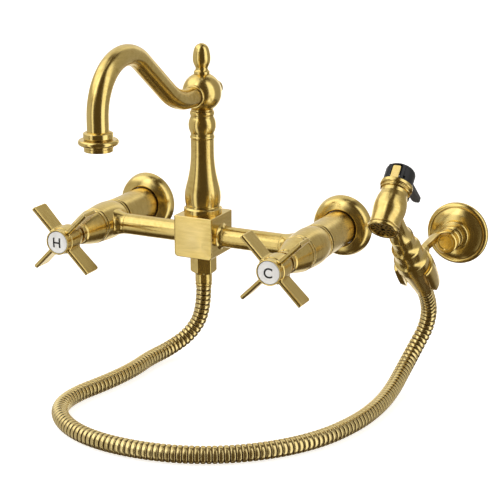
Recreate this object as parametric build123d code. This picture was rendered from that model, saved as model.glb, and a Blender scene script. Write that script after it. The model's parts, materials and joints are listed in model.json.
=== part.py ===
from build123d import *
from math import atan2, cos, hypot, pi, radians, sin, sqrt, tan
import os

# Wall-mounted bridge kitchen faucet with cross handles, a swivel gooseneck spout and a corded side sprayer.
# Millimetres. The wall is the plane y = 0, +Z is up, and the origin lies midway between the two inlets.

os.makedirs("parts", exist_ok=True)

# Clearances
seat = 0.05                # parts of one body that fit into each other
bearing = 0.08             # shafts and pins that turn or slide
running = 0.3              # free gap between moving bodies

# Where the main axes lie
inlet_pitch = 203.2        # centre to centre of the two inlets
bridge_out = 80.6          # wall to the bridge's axis
bracket_x = 210.0          # sprayer bracket's centre on the wall
bracket_z = 6.4

# Inlets and wall flanges, heights measured out from the wall
thread_r = 10.48           # half of a G 1/2 outside thread
thread_length = 15.0
inlet_bore_r = 7.5
inlet_tube_r = 11.5
inlet_collar_r = 14.0
inlet_collar_t = 3.5
sleeve_r = 16.0
sleeve_shoulder = 40.0     # where the sleeve pulls on the inlet's collar
sleeve_start = 2.0
flange_r = 28.4
flange_depth = 11.8
flange_wall = 1.6
washer_t = 2.0
union_r = 14.2             # the valve body's threaded stub
body_start = 62.0

# Valve bodies, bonnets and cartridges
body_r = 17.0
body_end = 103.5
body_end_r = 15.4
chamber_start = 76.0
chamber_r = 12.0
side_bore_r = 6.0
boss_r = 10.3
boss_reach = 24.0
bonnet_end = 131.0
bonnet_end_r = 9.6
cartridge_r = 10.9
cartridge_waist_r = 9.6
cartridge_neck_r = 8.8
cartridge_shoulder = 91.8
cartridge_end = 99.0
cartridge_room_r = 8.0
disc_t = 3.0
stem_r = 4.0
stem_head_r = 7.5
stem_head_t = 3.5

# Cross handles
handle_start = 134.2
hub_r = 11.9
hub_front = 161.2
stem_socket_end = 146.0
screw_r = 1.8
screw_head_r = 4.0
button_r = 10.06
button_seat = 158.6
button_front = 162.2
arm_length = 37.8
arm_web_t = 3.8
arm_bead_t = 4.0
arm_front = 158.0
arm_bead_back = 153.8
arm_back_tip = 137.2
arm_back_root = 140.0

# Bridge
bar_r = 9.4
bar_foot_r = 12.3
bar_foot_length = 5.0
bar_spigot_r = 8.2
bar_spigot_length = 6.0
bar_bore_r = 6.2
block_w = 37.3
block_d = 40.0
block_top = 19.9
block_bottom = -17.7
block_corner = 3.5
block_edge = 1.0

# Diverter inside the block
diverter_r = 6.9
diverter_room_r = 5.0
diverter_bottom = -6.0
diverter_top = 9.2
spool_stem_r = 1.4

# Column
column_thread_r = 9.0
column_thread_length = 8.0
column_bore_r = 6.0
column_top = 111.2
swivel_r = 8.0
swivel_bottom = 92.6
grub_z = 98.9
grub_r = 2.0

# Swivelling hub and its fittings
hub_ball_r = 17.3
hub_ball_z = 127.4
hub_neck_r = 9.8
hub_bore_r = 5.0
o_ring_t = 1.8
o_ring_depth = 1.7
finial_thread_r = 4.0
finial_thread_length = 7.0
finial_flat = 16.1         # flat on the ball, from its centre
plug_r = 6.4
plug_flat = 16.0
plug_thread_r = 4.5
plug_reach = 30.8          # from the ball's centre to the plug's domed end

# Spout tube, in the plane x = 0
spout_r = 8.6
spout_wall = 1.5
spout_z = 125.9            # where the tube leaves the hub
spout_start = 9.4          # in front of the column's axis
spout_run = 16.4
spout_rise_r = 60.0
spout_rise_angle = 36.4
spout_slope = 52.3
spout_crook_r = 42.2
spout_drop = 11.6
spout_collar_r = 10.3
spout_collar_t = 3.0

# Spout tip and aerator, depths measured down from the tube's end
tip_ring_r = 11.6
tip_flange_r = 15.8
tip_rise = 1.5             # how far the tip grips up the tube
tip_flange_top = 4.6
tip_flange_bottom = 8.4
tip_end = 11.0
tip_thread_top = 6.0
aerator_thread_r = 10.5
aerator_r = 11.0
aerator_end = 13.8
aerator_insert_r = 9.1
aerator_hole_r = 0.8

# Hose connection under the block
nipple_thread_r = 6.4
nipple_thread_length = 8.0
nipple_r = 7.9
nipple_bore_r = 4.0
nipple_end = -30.0
nut_across_flats = 20.4
nut_end = -34.3
nut_cone_end = -36.2
nut_cone_r = 8.2
hose_washer_t = 1.5
ferrule_collar_t = 2.0
ferrule_neck_r = 6.5
ferrule_r = 7.6
ferrule_end = -47.0

# Ribbed hose
hose_r = 7.0
hose_groove_r = 6.35
hose_bore_r = 4.5
hose_pitch = 4.4
hose_lie = -106.0          # height of its centre line where it lies

# Side sprayer: the handle leans out from the wall, and the barrel stands square to it
sprayer_x = 203.0
sprayer_y = -64.0
sprayer_z = -29.7
sprayer_lean = 45.0
head_up = 133.2            # from the handle's foot to the barrel's axis
cone_start = 5.0           # the hose meets the cone here
cone_foot_r = 7.6
cone_top = 47.2
cone_top_r = 13.0
grip_r = 14.0
grip_end = 58.5
grip_waist_r = 11.4
bulge_r = 12.0
handle_end = 85.0
handle_end_r = 8.8
handle_bore_r = 5.0
link_r = 7.5               # threaded link into the cone
link_length = 12.0
neck_thread_r = 6.4
neck_thread_length = 7.0
neck_collar_r = 9.6
neck_collar_t = 7.5
neck_r = 7.0
barrel_r = 12.8
barrel_front = -15.5
barrel_front_r = 11.7
barrel_back = 16.0
barrel_back_r = 10.8
valve_room_r = 8.0
valve_seat_r = 4.2
valve_seat = -3.0          # under side of the seat's web
valve_web_t = 2.0
ring_front = -19.5
ring_r = 12.2
ring_bore_r = 9.7
face_front = -18.6
face_back = -13.0
collar_r = 12.9
collar_top = 22.0
collar_recess = 18.4
tongue_w = 7.5
tongue_t = 3.4
tongue_top = 33.5
plunger_r = 2.6
poppet_r = 6.0
poppet_t = 2.0
lever_cap_r = 11.9
lever_cap_wall = 1.4
lever_top = 37.0
lever_pivot_h = 9.6        # towards the front of the barrel's back end
lever_pivot_b = 24.5
lever_pin_r = 1.0
lever_tail = 52.0
lever_tail_w = 9.0
lever_tail_t = 4.5
lever_tail_lean = 7.6      # how far the tail leans away from the handle, degrees
lever_lean_start = 8.0
lever_boss_bottom = 30.0

# Sprayer bracket on the wall, heights measured out from the wall
plate_r = 20.0
plate_t = 2.5
plate_boss_r = 7.0
plate_boss_top = 6.0
plate_screw_pitch = 26.0
plate_screw_r = 2.0
plate_screw_neck_r = 1.8
plate_screw_head_r = 3.6
plate_screw_head_t = 2.2
plate_screw_length = 25.0
rosette_r = 27.4
rosette_top = 8.2
rosette_wall = 1.5
post_stud_r = 4.0
post_ring_r = 13.0
post_mid_r = 10.3
post_shoulder = 23.0
post_spindle_r = 5.9
eye_r = 10.2
eye_t = 12.5
cap_r = 8.0
cap_t = 1.8
cap_thread_r = 3.0
cap_thread_length = 9.0
cup_bottom = 14.0
cup_r = 16.6
cup_bore_top_r = 13.4
cup_bore_foot_r = 12.3
cup_slot_angle = 112.0
cup_arm_w = 9.0
cup_arm_t = 8.6


def rod(radius, start, end):
    """A cylinder on Z between two heights."""
    low = min(start, end)
    return Pos(0, 0, low) * Cylinder(radius, abs(end - start), align=(Align.CENTER, Align.CENTER, Align.MIN))


def tube(outer, inner, start, end):
    """A tube on Z between two heights."""
    return rod(outer, start, end) - rod(inner, start, end)


def turned(start, *steps):
    """A solid turned about Z from an outline of (radius, height) points that closes on its start.

    A point is reached by a line, a pair of points by an arc through the first, a list by a spline."""
    edges = []
    here = start
    for step in steps + (start,):
        if isinstance(step, list):
            edges.append(Spline([here] + step))
            here = step[-1]
        elif isinstance(step[0], tuple):
            edges.append(ThreePointArc(here, step[0], step[1]))
            here = step[1]
        elif hypot(step[0] - here[0], step[1] - here[1]) > 1e-6:
            edges.append(Line(here, step))
            here = step
    return revolve(Plane.XZ * make_face(edges), Axis.Z)


def dome(radius, low, high):
    """Arc of a ball's cap from an outline's edge up to the axis, as a pair for turned()."""
    rise = high - low
    ball = (radius ** 2 + rise ** 2) / (2 * rise)
    half = atan2(radius, ball - rise) / 2
    return (ball * sin(half), high - ball * (1 - cos(half))), (0, high)


def cross_rod(radius, length, height):
    """A cylinder along X through the axis at a height."""
    return Pos(0, 0, height) * Rot(0, 90, 0) * Cylinder(radius, length)


def spring(radius, wire_r, start, end, turns):
    """A coil spring on Z."""
    coil = Helix(pitch=(end - start) / turns, height=end - start, radius=radius)
    section = Plane(origin=coil @ 0, z_dir=coil % 0) * Circle(wire_r)
    return Pos(0, 0, start) * sweep(section, path=coil)


def placed(frame, piece):
    return frame.location * piece


def inlet_frame(side):
    """Z runs out from the wall along one inlet."""
    return Plane(origin=(side * inlet_pitch / 2, 0, 0), x_dir=(1, 0, 0), z_dir=(0, -1, 0))


def bar_frame(side):
    """Z runs from the block along one bar."""
    return Plane(origin=(0, -bridge_out, 0), x_dir=(0, 1, 0), z_dir=(side, 0, 0))


column_frame = Plane(origin=(0, -bridge_out, 0), x_dir=(1, 0, 0), z_dir=(0, 0, 1))
bracket_frame = Plane(origin=(bracket_x, 0, bracket_z), x_dir=(1, 0, 0), z_dir=(0, -1, 0))
handle_dir = Vector(0, -sin(radians(sprayer_lean)), cos(radians(sprayer_lean)))
barrel_dir = Vector(0, cos(radians(sprayer_lean)), sin(radians(sprayer_lean)))
handle_foot = Vector(sprayer_x, sprayer_y, sprayer_z)
head_centre = handle_foot + handle_dir * head_up
# In the handle's frame Y points along the barrel, and in the barrel's frame Y points down the handle.
handle_frame = Plane(origin=handle_foot, x_dir=(1, 0, 0), z_dir=handle_dir)
barrel_frame = Plane(origin=head_centre, x_dir=(1, 0, 0), z_dir=barrel_dir)

pieces = {}


# Inlet side, once for hot at the left and once for cold at the right

def wall_flange():
    hole = sleeve_r + seat
    inner_r = flange_r - flange_wall
    inner_depth = flange_depth - flange_wall
    lip_r = hole + 1.2
    outer_mid = (hole + (flange_r - hole) * cos(pi / 4), flange_depth * sin(pi / 4))
    inner_mid = (lip_r + (inner_r - lip_r) * cos(pi / 4), inner_depth * sin(pi / 4))
    return turned((inner_r, 0), (flange_r, 0), [outer_mid, (hole + 1.0, flange_depth)],
                  (hole, flange_depth - 0.6), (hole, inner_depth - 1.0), (lip_r, inner_depth - 1.0),
                  (lip_r, inner_depth), [inner_mid, (inner_r, 0)])


def inlet_connector():
    end = sleeve_shoulder + inlet_collar_t
    body = turned((inlet_bore_r, -thread_length), (thread_r - 0.8, -thread_length),
                  (thread_r, 0.8 - thread_length), (thread_r, 1), (inlet_tube_r, 1),
                  (inlet_tube_r, sleeve_shoulder), (inlet_collar_r, sleeve_shoulder), (inlet_collar_r, end),
                  (inlet_bore_r, end))
    return body


def coupling_sleeve():
    rear_bore = inlet_tube_r + seat
    front_bore = union_r + seat
    end = body_start - seat
    return turned((rear_bore, sleeve_start), (sleeve_r - 0.5, sleeve_start), (sleeve_r, sleeve_start + 0.5),
                  (sleeve_r, end - 0.5), (sleeve_r - 0.5, end), (front_bore, end),
                  (front_bore, sleeve_shoulder), (rear_bore, sleeve_shoulder))


def union_washer():
    start = sleeve_shoulder + inlet_collar_t
    return tube(inlet_collar_r - 0.2, inlet_bore_r + 0.1, start, start + washer_t)


def valve_body(side):
    stub = sleeve_shoulder + inlet_collar_t + washer_t
    ring_end = body_start + 2.5
    outer = turned((0, stub), (union_r, stub), (union_r, body_start), (16.4, body_start), (16.4, ring_end),
                   (15.9, ring_end + 0.5), [(body_r, 73), (body_r, 86), (15.9, 99)], (body_end_r + 0.4, 100),
                   (body_end_r + 0.4, body_end), (0, body_end))
    boss = turned((0, 8), (body_r - 4, 8), (body_r - 4, 13), ((10.9, 16.5), (boss_r, boss_reach - 4)),
                  (boss_r, boss_reach), (0, boss_reach))
    towards_block = Plane(origin=(0, 0, bridge_out), x_dir=(0, 0, 1), z_dir=(-side, 0, 0))
    outer += placed(towards_block, boss)
    outer -= rod(inlet_bore_r, stub, chamber_start)
    outer -= rod(chamber_r, chamber_start, body_end)
    outer -= placed(towards_block, rod(side_bore_r, 0, boss_reach))
    outer -= placed(towards_block, rod(bar_spigot_r + seat, boss_reach - bar_spigot_length, boss_reach))
    return outer


def valve_bonnet():
    spigot_r = chamber_r - seat
    bore = cartridge_neck_r + seat
    step = cartridge_shoulder + seat
    stem_hole = stem_r + running
    return turned((bore, step), (spigot_r, step), (spigot_r, body_end), (body_end_r, body_end),
                  (body_end_r, body_end + 1.2), ((13.5, 114), (10.6, 125.5)), (bonnet_end_r, 127),
                  (bonnet_end_r, bonnet_end), (stem_hole, bonnet_end), (stem_hole, cartridge_end + 1),
                  (bore, cartridge_end + 1))


def cartridge_housing():
    start = chamber_start + 0.2
    land = 3.0
    shell = turned((cartridge_room_r, start), (cartridge_r + 1, start), (cartridge_r + 1, start + land),
                   (cartridge_waist_r, start + land), (cartridge_waist_r, cartridge_shoulder - land),
                   (cartridge_r, cartridge_shoulder - land), (cartridge_r, cartridge_shoulder),
                   (cartridge_neck_r, cartridge_shoulder), (cartridge_neck_r, cartridge_end),
                   (stem_r + bearing, cartridge_end), (stem_r + bearing, cartridge_end - 3),
                   (cartridge_room_r, cartridge_end - 3))
    return shell - cross_rod(1.8, 30, cartridge_shoulder - land - 2.4)


def fixed_disc():
    start = chamber_start + 0.2
    ports = [Pos(x, 0, 0) * rod(2.2, start - 1, start + disc_t + 1) for x in (-4, 4)]
    return rod(cartridge_room_r - seat, start, start + disc_t) - ports


def moving_disc():
    start = chamber_start + 0.2 + disc_t + bearing
    ports = [Pos(x, 0, 0) * rod(2.2, start - 1, start + disc_t + 1) for x in (-4, 4)]
    return rod(cartridge_room_r - running, start, start + disc_t) - ports


def valve_stem():
    start = chamber_start + 0.2 + 2 * disc_t + bearing
    end = stem_socket_end - 0.2
    body = rod(stem_head_r, start, start + stem_head_t) + rod(stem_r, start, end)
    waterway = Pos(0, 0, start) * Box(2 * stem_head_r + 2, 3.4, 2.4,
                                      align=(Align.CENTER, Align.CENTER, Align.MIN))
    flats = [Pos(side * (stem_r + 0.6), 0, end) * Box(2, 3 * stem_r, 20) for side in (-1, 1)]
    return body - waterway - flats - rod(screw_r - 0.3, end - 9, end)


def handle_arm():
    """One flat arm along +X with a bead along its front edge."""
    root = 8.0
    web = Plane.XZ * make_face(Polyline((root, arm_back_root), (14, arm_back_root),
                                        (arm_length - 1.5, arm_back_tip), (arm_length, arm_back_tip + 1.5),
                                        (arm_length, arm_bead_back), (root, arm_bead_back), close=True))
    web = extrude(web, arm_web_t / 2, both=True)
    bead_w = arm_front - arm_bead_back
    bead = Box(arm_length - root, arm_bead_t, bead_w, align=(Align.MIN, Align.CENTER, Align.MIN))
    bead = fillet(bead.edges().filter_by(Axis.X), 1.4)
    groove = Box(arm_length, arm_bead_t, 0.9, align=(Align.MIN, Align.CENTER, Align.MAX))
    groove -= Box(2 * arm_length, arm_web_t - 1.0, 3)
    return web + Pos(root, 0, arm_bead_back) * bead - Pos(13, 0, arm_bead_back) * groove


def cross_handle():
    ring_back = arm_bead_back + 0.8
    hub = turned((0, handle_start), (bonnet_end_r - 0.2, handle_start), (bonnet_end_r, handle_start + 0.4),
                 ((9.9, handle_start + 3.4), (hub_r, arm_back_root + 1.5)), (hub_r, ring_back),
                 (11.2, ring_back + 0.8), (11.2, hub_front - 0.5), (10.8, hub_front), (0, hub_front))
    for quarter in range(4):
        hub += Rot(0, 0, 45 + 90 * quarter) * handle_arm()
    socket = rod(stem_r + seat, handle_start, stem_socket_end)
    socket -= [Pos(side * (stem_r + 0.6), 0, stem_socket_end) * Box(2 - 2 * seat, 3 * stem_r,
                                                                    19.5) for side in (-1, 1)]
    hub -= socket
    hub -= rod(screw_r + 0.2, stem_socket_end - 1, button_seat)
    hub -= rod(screw_head_r + 0.2, stem_socket_end + 4, button_seat)
    return hub - rod(button_r + seat, button_seat, hub_front + 1)


def handle_screw():
    head = stem_socket_end + 4
    screw = rod(screw_head_r, head, head + 3.2) + rod(screw_r - 0.3 - seat, stem_socket_end - 7, head)
    return screw - Pos(0, 0, head + 3.2) * Box(1, 20, 2)


def index_button():
    rim = hub_front - 0.3
    return turned((0, button_seat), (button_r, button_seat), (button_r, rim),
                  dome(button_r, rim, button_front))


# Bridge

def bridge_bar(side):
    start = block_w / 2
    end = inlet_pitch / 2 - boss_reach
    shoulder = start + bar_foot_length
    return turned((bar_bore_r, start - bar_spigot_length), (bar_spigot_r, start - bar_spigot_length),
                  (bar_spigot_r, start), (bar_foot_r, start), ((10.2, start + 1.7), (bar_r, shoulder)),
                  (bar_r, end - 1), (bar_r - 0.6, end), (bar_spigot_r, end),
                  (bar_spigot_r, end + bar_spigot_length), (bar_bore_r, end + bar_spigot_length))


def bridge_block():
    height = block_top - block_bottom
    block = Pos(0, 0, block_bottom) * Box(block_w, block_d, height,
                                          align=(Align.CENTER, Align.CENTER, Align.MIN))
    long_edges = block.edges().filter_by(Axis.Y).sort_by(Axis.Z)
    block = fillet(long_edges[:2], block_corner)
    block = chamfer(block.faces().sort_by(Axis.Y)[0].edges(), block_edge / 2)
    block -= rod(column_thread_r + seat, block_top - column_thread_length, block_top)
    block -= rod(diverter_r + seat, diverter_bottom, block_top)
    block -= rod(nipple_thread_r + seat, block_bottom, diverter_bottom)
    for side in (-1, 1):
        wall = placed(bar_frame(side), rod(bar_bore_r, 0, block_w))
        socket = placed(bar_frame(side), rod(bar_spigot_r + seat, block_w / 2 - bar_spigot_length, block_w))
        block -= Pos(0, bridge_out, 0) * wall
        block -= Pos(0, bridge_out, 0) * socket
    return block


def diverter_sleeve():
    lip_r = 3.2
    sleeve = turned((lip_r, diverter_bottom), (diverter_r, diverter_bottom), (diverter_r, diverter_top),
                    (diverter_room_r, diverter_top), (diverter_room_r, diverter_bottom + 1.5),
                    (lip_r, diverter_bottom + 1.5))
    return sleeve - cross_rod(3.0, 4 * diverter_r, 0)


def diverter_spool():
    foot = diverter_bottom + 1.5 + running
    piston_r = diverter_room_r - bearing
    return rod(spool_stem_r, foot, 7) + rod(piston_r, 4.2, 5.8) + rod(diverter_room_r - 0.8, foot, foot + 1.4)


def diverter_spring():
    return spring(3.4, 0.35, 6.2, 8.9, 3)


# Column

def column():
    lower = block_top - column_thread_length
    bore_top = swivel_bottom - 1
    socket = swivel_r + bearing
    body = turned((column_bore_r, lower), (column_thread_r, lower), (column_thread_r, block_top),
                  (16.9, block_top), (16.9, 24.4), (15.3, 25.8), (15.1, 27.2), (15.5, 28.6),
                  ((16.05, 35), (15.1, 43.3)), [(12.5, 54.2), (10.6, 68), (10.3, 84.7)], (10.3, 86.8),
                  ((10.95, 88.2), (10.3, 89.6)), (10.3, 91.8), ((12.15, 98.9), (10.3, 106)), (10.3, 107.6),
                  ((10.85, 109.4), (10.3, column_top)), (socket, column_top), (socket, bore_top),
                  (column_bore_r, bore_top))
    hole = Pos(0, 12.5, grub_z) * Rot(90, 0, 0) * Cylinder(grub_r + seat, 10)
    return body - hole


def spout_grub_screw():
    screw = rod(grub_r, 7.2, 11.6) - rod(1.0, 9.6, 12)
    return Plane(origin=(0, 0, grub_z), x_dir=(1, 0, 0), z_dir=(0, 1, 0)).location * screw


# Swivelling spout

def spout_hub():
    foot = column_top + running
    ball = Pos(0, 0, hub_ball_z) * Sphere(hub_ball_r)
    groove_r = swivel_r - o_ring_depth
    spigot = turned((0, swivel_bottom), (swivel_r, swivel_bottom), (swivel_r, 94.0), (groove_r, 94.0),
                    (groove_r, 94.0 + o_ring_t), (swivel_r, 94.0 + o_ring_t),
                    (swivel_r, grub_z - grub_r - 0.3), (6.8, grub_z - grub_r - 0.3),
                    (6.8, grub_z + grub_r + 0.3), (swivel_r, grub_z + grub_r + 0.3), (swivel_r, 103.5),
                    (groove_r, 103.5), (groove_r, 103.5 + o_ring_t), (swivel_r, 103.5 + o_ring_t),
                    (swivel_r, foot), (hub_neck_r, foot), (hub_neck_r, foot + 4), (0, foot + 4))
    hub = ball + spigot
    hub -= Pos(0, 0, hub_ball_z + finial_flat) * Box(40, 40, 10,
                                                     align=(Align.CENTER, Align.CENTER, Align.MIN))
    hub -= Pos(0, plug_flat, hub_ball_z) * Box(40, 10, 40, align=(Align.CENTER, Align.MIN, Align.CENTER))
    hub -= rod(hub_bore_r, swivel_bottom, hub_ball_z)
    front = Plane(origin=(0, 0, spout_z), x_dir=(1, 0, 0), z_dir=(0, -1, 0))
    hub -= placed(front, rod(spout_r + seat, spout_start, 2 * hub_ball_r))
    hub -= placed(front, rod(spout_r - spout_wall, 0, spout_start))
    top = hub_ball_z + finial_flat
    hub -= rod(finial_thread_r + seat, top - finial_thread_length, top)
    rear = Plane(origin=(0, 0, hub_ball_z), x_dir=(1, 0, 0), z_dir=(0, 1, 0))
    return hub - placed(rear, rod(plug_thread_r + seat, plug_flat - 7, plug_flat))


def spout_o_rings():
    inner = swivel_r - o_ring_depth + 0.03
    outer = swivel_r + bearing - 0.02
    rings = [tube(outer, inner, z + 0.05, z + o_ring_t - 0.05) for z in (94.0, 103.5)]
    return Compound(children=rings)


def finial():
    foot = hub_ball_z + finial_flat
    body = turned((0, foot - finial_thread_length), (finial_thread_r, foot - finial_thread_length),
                  (finial_thread_r, foot), (7.0, foot), (7.0, 145.8), (6.2, 146.4),
                  ((5.45, 148), (5.9, 149.9)), [(7.25, 153), (7.85, 157.4), (7.0, 163.4)], (6.4, 165.1),
                  dome(6.4, 165.1, 169.9))
    return body


def rear_plug():
    return turned((0, plug_flat - 7), (plug_thread_r, plug_flat - 7), (plug_thread_r, plug_flat),
                  (plug_r, plug_flat), (plug_r, 19.0), (plug_r - 0.5, 19.4), (plug_r - 0.5, 20.0),
                  (plug_r, 20.4), (plug_r, plug_reach - 3), dome(plug_r, plug_reach - 3, plug_reach))


def spout_path():
    """Level run, gentle rise, slope, crook over the top and a short drop."""
    rise = radians(spout_rise_angle)
    a = Vector(0, -spout_start, spout_z)
    b = a + Vector(0, -spout_run, 0)
    c = b + Vector(0, -spout_rise_r * sin(rise), spout_rise_r * (1 - cos(rise)))
    mid_bc = b + Vector(0, -spout_rise_r * sin(rise / 2), spout_rise_r * (1 - cos(rise / 2)))
    d = c + Vector(0, -cos(rise), sin(rise)) * spout_slope
    centre = d + Vector(0, -sin(rise), -cos(rise)) * spout_crook_r
    over = (rise + radians(90)) / 2 - rise
    top = centre + Vector(0, -sin(over), cos(over)) * spout_crook_r
    e = centre + Vector(0, -spout_crook_r, 0)
    end = e + Vector(0, 0, -spout_drop)
    return Wire([Line(a, b), ThreePointArc(b, mid_bc, c), Line(c, d), ThreePointArc(d, top, e), Line(e, end)])


def spout_tube():
    path = spout_path()
    ring = Circle(spout_r) - Circle(spout_r - spout_wall)
    section = Plane(origin=path @ 0, x_dir=(1, 0, 0), z_dir=(0, -1, 0)) * ring
    start = sqrt(hub_ball_r ** 2 - spout_r ** 2) - 1.0
    inside = spout_r - spout_wall / 2
    collar = turned((inside, start), (spout_collar_r - 0.6, start),
                    ((spout_collar_r, start + spout_collar_t / 2),
                     (spout_collar_r - 0.6, start + spout_collar_t)), (inside, start + spout_collar_t))
    front = Plane(origin=(0, 0, spout_z), x_dir=(1, 0, 0), z_dir=(0, -1, 0))
    collar = placed(front, collar) - Pos(0, 0, hub_ball_z) * Sphere(hub_ball_r + seat / 2)
    return sweep(section, path=path) + collar


def tip_frame():
    """Z runs down from the end of the spout tube."""
    return Plane(origin=spout_path() @ 1, x_dir=(1, 0, 0), z_dir=(0, 0, -1))


def spout_tip():
    grip = spout_r + seat
    thread = aerator_thread_r + seat
    return turned((grip, -tip_rise), (9.7, -tip_rise), (tip_ring_r, -0.5), (tip_ring_r, 3.4), (10.8, 4.0),
                  (10.8, tip_flange_top), (tip_flange_r - 0.6, tip_flange_top),
                  (tip_flange_r, tip_flange_top + 0.6), (tip_flange_r, tip_flange_bottom), (13.5, 10.2),
                  (11.8, tip_end), (thread, tip_end), (thread, tip_thread_top),
                  (spout_r - spout_wall, tip_thread_top), (spout_r - spout_wall, 0), (grip, 0))


def aerator_housing():
    inner = aerator_insert_r + seat
    top = tip_thread_top + seat
    body = turned((inner, top), (aerator_thread_r, top), (aerator_thread_r, tip_end),
                  (aerator_thread_r - 0.4, tip_end + 0.4), (aerator_r, tip_end + 0.8),
                  (aerator_r, aerator_end - 0.6), (aerator_r - 0.6, aerator_end),
                  (inner - 1.2, aerator_end), (inner - 1.2, aerator_end - 1.2), (inner, aerator_end - 1.2))
    for turn in (0, 90):
        body -= Rot(0, 0, turn) * Pos(0, 0, aerator_end) * Box(3 * aerator_r, 2.4, 1.2)
    return body


def aerator_insert():
    insert = rod(aerator_insert_r, tip_thread_top + seat, aerator_end - 1.25)
    holes = []
    for ring, count in ((0, 1), (2.8, 6), (5.6, 12)):
        for k in range(count):
            turn = 2 * pi * k / count
            holes.append(Pos(ring * cos(turn), ring * sin(turn), 0) * rod(aerator_hole_r, 6, aerator_end))
    return insert - holes


# Hose connection under the block

def outlet_nipple():
    top = block_bottom + nipple_thread_length
    return turned((nipple_bore_r, top), (nipple_thread_r, top), (nipple_thread_r, block_bottom),
                  (nipple_r, block_bottom), (nipple_r, nipple_end), (nipple_bore_r, nipple_end))


def hose_nut():
    top = block_bottom - running
    bore = nipple_r + seat
    lip = nipple_end - hose_washer_t - ferrule_collar_t
    flat = nut_across_flats / 2
    corner = flat / cos(pi / 6)
    hexagon = Pos(0, 0, nut_end) * extrude(RegularPolygon(flat, 6, major_radius=False), top - nut_end)
    shape = turned((0, top), (corner - 1.0, top), (corner, top - 0.6), (corner, nut_end + 0.6),
                   (corner - 1.0, nut_end), (0, nut_end))
    cone = turned((0, nut_end), (9.6, nut_end), (nut_cone_r, nut_cone_end), (0, nut_cone_end))
    nut = hexagon & shape
    nut += cone
    nut -= rod(bore, lip, top)
    return nut - rod(ferrule_neck_r + seat, nut_cone_end, lip)


def hose_washer():
    return tube(nipple_r - 0.1, nipple_bore_r, nipple_end - hose_washer_t, nipple_end)


def hose_ferrule():
    collar_top = nipple_end - hose_washer_t
    collar_end = collar_top - ferrule_collar_t
    shoulder = nut_cone_end - 0.1
    return turned((nipple_bore_r, collar_top), (nipple_r - 0.1, collar_top), (nipple_r - 0.1, collar_end),
                  (ferrule_neck_r, collar_end), (ferrule_neck_r, shoulder), (ferrule_r - 0.4, shoulder),
                  (ferrule_r, shoulder - 0.4), (ferrule_r, ferrule_end + 3),
                  (ferrule_r - 0.35, ferrule_end + 2.6), (ferrule_r - 0.35, ferrule_end + 1.6),
                  (ferrule_r, ferrule_end + 1.2), (ferrule_r, ferrule_end), (nipple_bore_r, ferrule_end))


# Ribbed hose: down from the block, round in front and up into the sprayer

hose_start = Vector(0, -bridge_out, ferrule_end)
hose_finish = handle_foot + handle_dir * cone_start
hose_points = [
    hose_start,
    (0, -bridge_out, -72),
    (-9.5, -88.5, -93),
    (-23, -106, -104.5),
    (-29, -131, hose_lie),
    (-28, -160, hose_lie),
    (-33, -195, hose_lie),
    (-44, -235, hose_lie),
    (-38, -266, hose_lie),
    (-12, -291, hose_lie),
    (24, -304, hose_lie),
    (68, -304, hose_lie),
    (110, -292, hose_lie),
    (148, -265, hose_lie),
    (176, -228, hose_lie),
    (190, -186, hose_lie),
    (194, -148, hose_lie),
    (193, -113, -105),
    (191, -80, -98),
    (194, -59, -84),
    (201, -48, -65),
    (sprayer_x, hose_finish.Y + 17, hose_finish.Z - 17),
    hose_finish,
]


def bend_radii(points):
    radii = []
    for before, here, after in zip(points, points[1:], points[2:]):
        arriving = here - before
        leaving = after - here
        turn = radians(arriving.get_angle(leaving))
        radii.append(0.45 * min(arriving.length, leaving.length) / tan(turn / 2))
    return radii


def steady_frames(path, stations):
    """Planes square to the path whose X axis is carried along without twist."""
    frames = []
    x_dir = Vector(1, 0, 0)
    for station in stations:
        origin = path.position_at(station, position_mode=PositionMode.LENGTH)
        tangent = path.tangent_at(station, position_mode=PositionMode.LENGTH)
        x_dir = (x_dir - tangent * x_dir.dot(tangent)).normalized()
        frames.append(Plane(origin=origin, x_dir=x_dir, z_dir=tangent))
    return frames


def spray_hose():
    points = [Vector(point) for point in hose_points]
    radii = bend_radii(points)
    path = Wire(FilletPolyline(*points, radius=radii).edges())
    ribs = round(path.length / hose_pitch)
    pitch = path.length / ribs
    shape = ((0.0, hose_groove_r), (0.25, hose_r), (0.7, hose_r), (0.92, hose_groove_r))
    stations = []
    sizes = []
    for rib in range(ribs):
        for share, radius in shape:
            stations.append((rib + share) * pitch)
            sizes.append(radius)
    stations.append(path.length)
    sizes.append(hose_groove_r)
    frames = steady_frames(path, stations)
    skin = loft([(frame * Circle(size)).face() for frame, size in zip(frames, sizes)], ruled=True)
    bore = sweep(frames[0] * Circle(hose_bore_r), path=path)
    hose = skin - bore
    print("hose length", round(path.length, 1), "ribs", ribs, "least run", round(pitch, 2))
    print("hose bend radii", [round(radius) for radius in radii])
    cones = zip(stations, stations[1:], sizes, sizes[1:])
    plain = sum((end - start) * (a * a + a * b + b * b) / 3 for start, end, a, b in cones)
    print("hose volume", round(hose.volume), "against", round(pi * (plain - hose_bore_r ** 2 * path.length)))
    return hose


# Side sprayer

def sprayer_cone():
    """The hose's conical nut, which also seats the sprayer in its cradle."""
    link = link_r + seat
    floor = cone_top - link_length
    return turned((hose_bore_r, cone_start), (cone_foot_r - 0.3, cone_start),
                  (cone_foot_r, cone_start + 0.4), (cone_foot_r + 0.2, cone_start + 3),
                  (cone_top_r - 0.1, cone_top - 2.2), (cone_top_r - 0.1, cone_top), (link, cone_top),
                  (link, floor), (hose_bore_r, floor))


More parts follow.
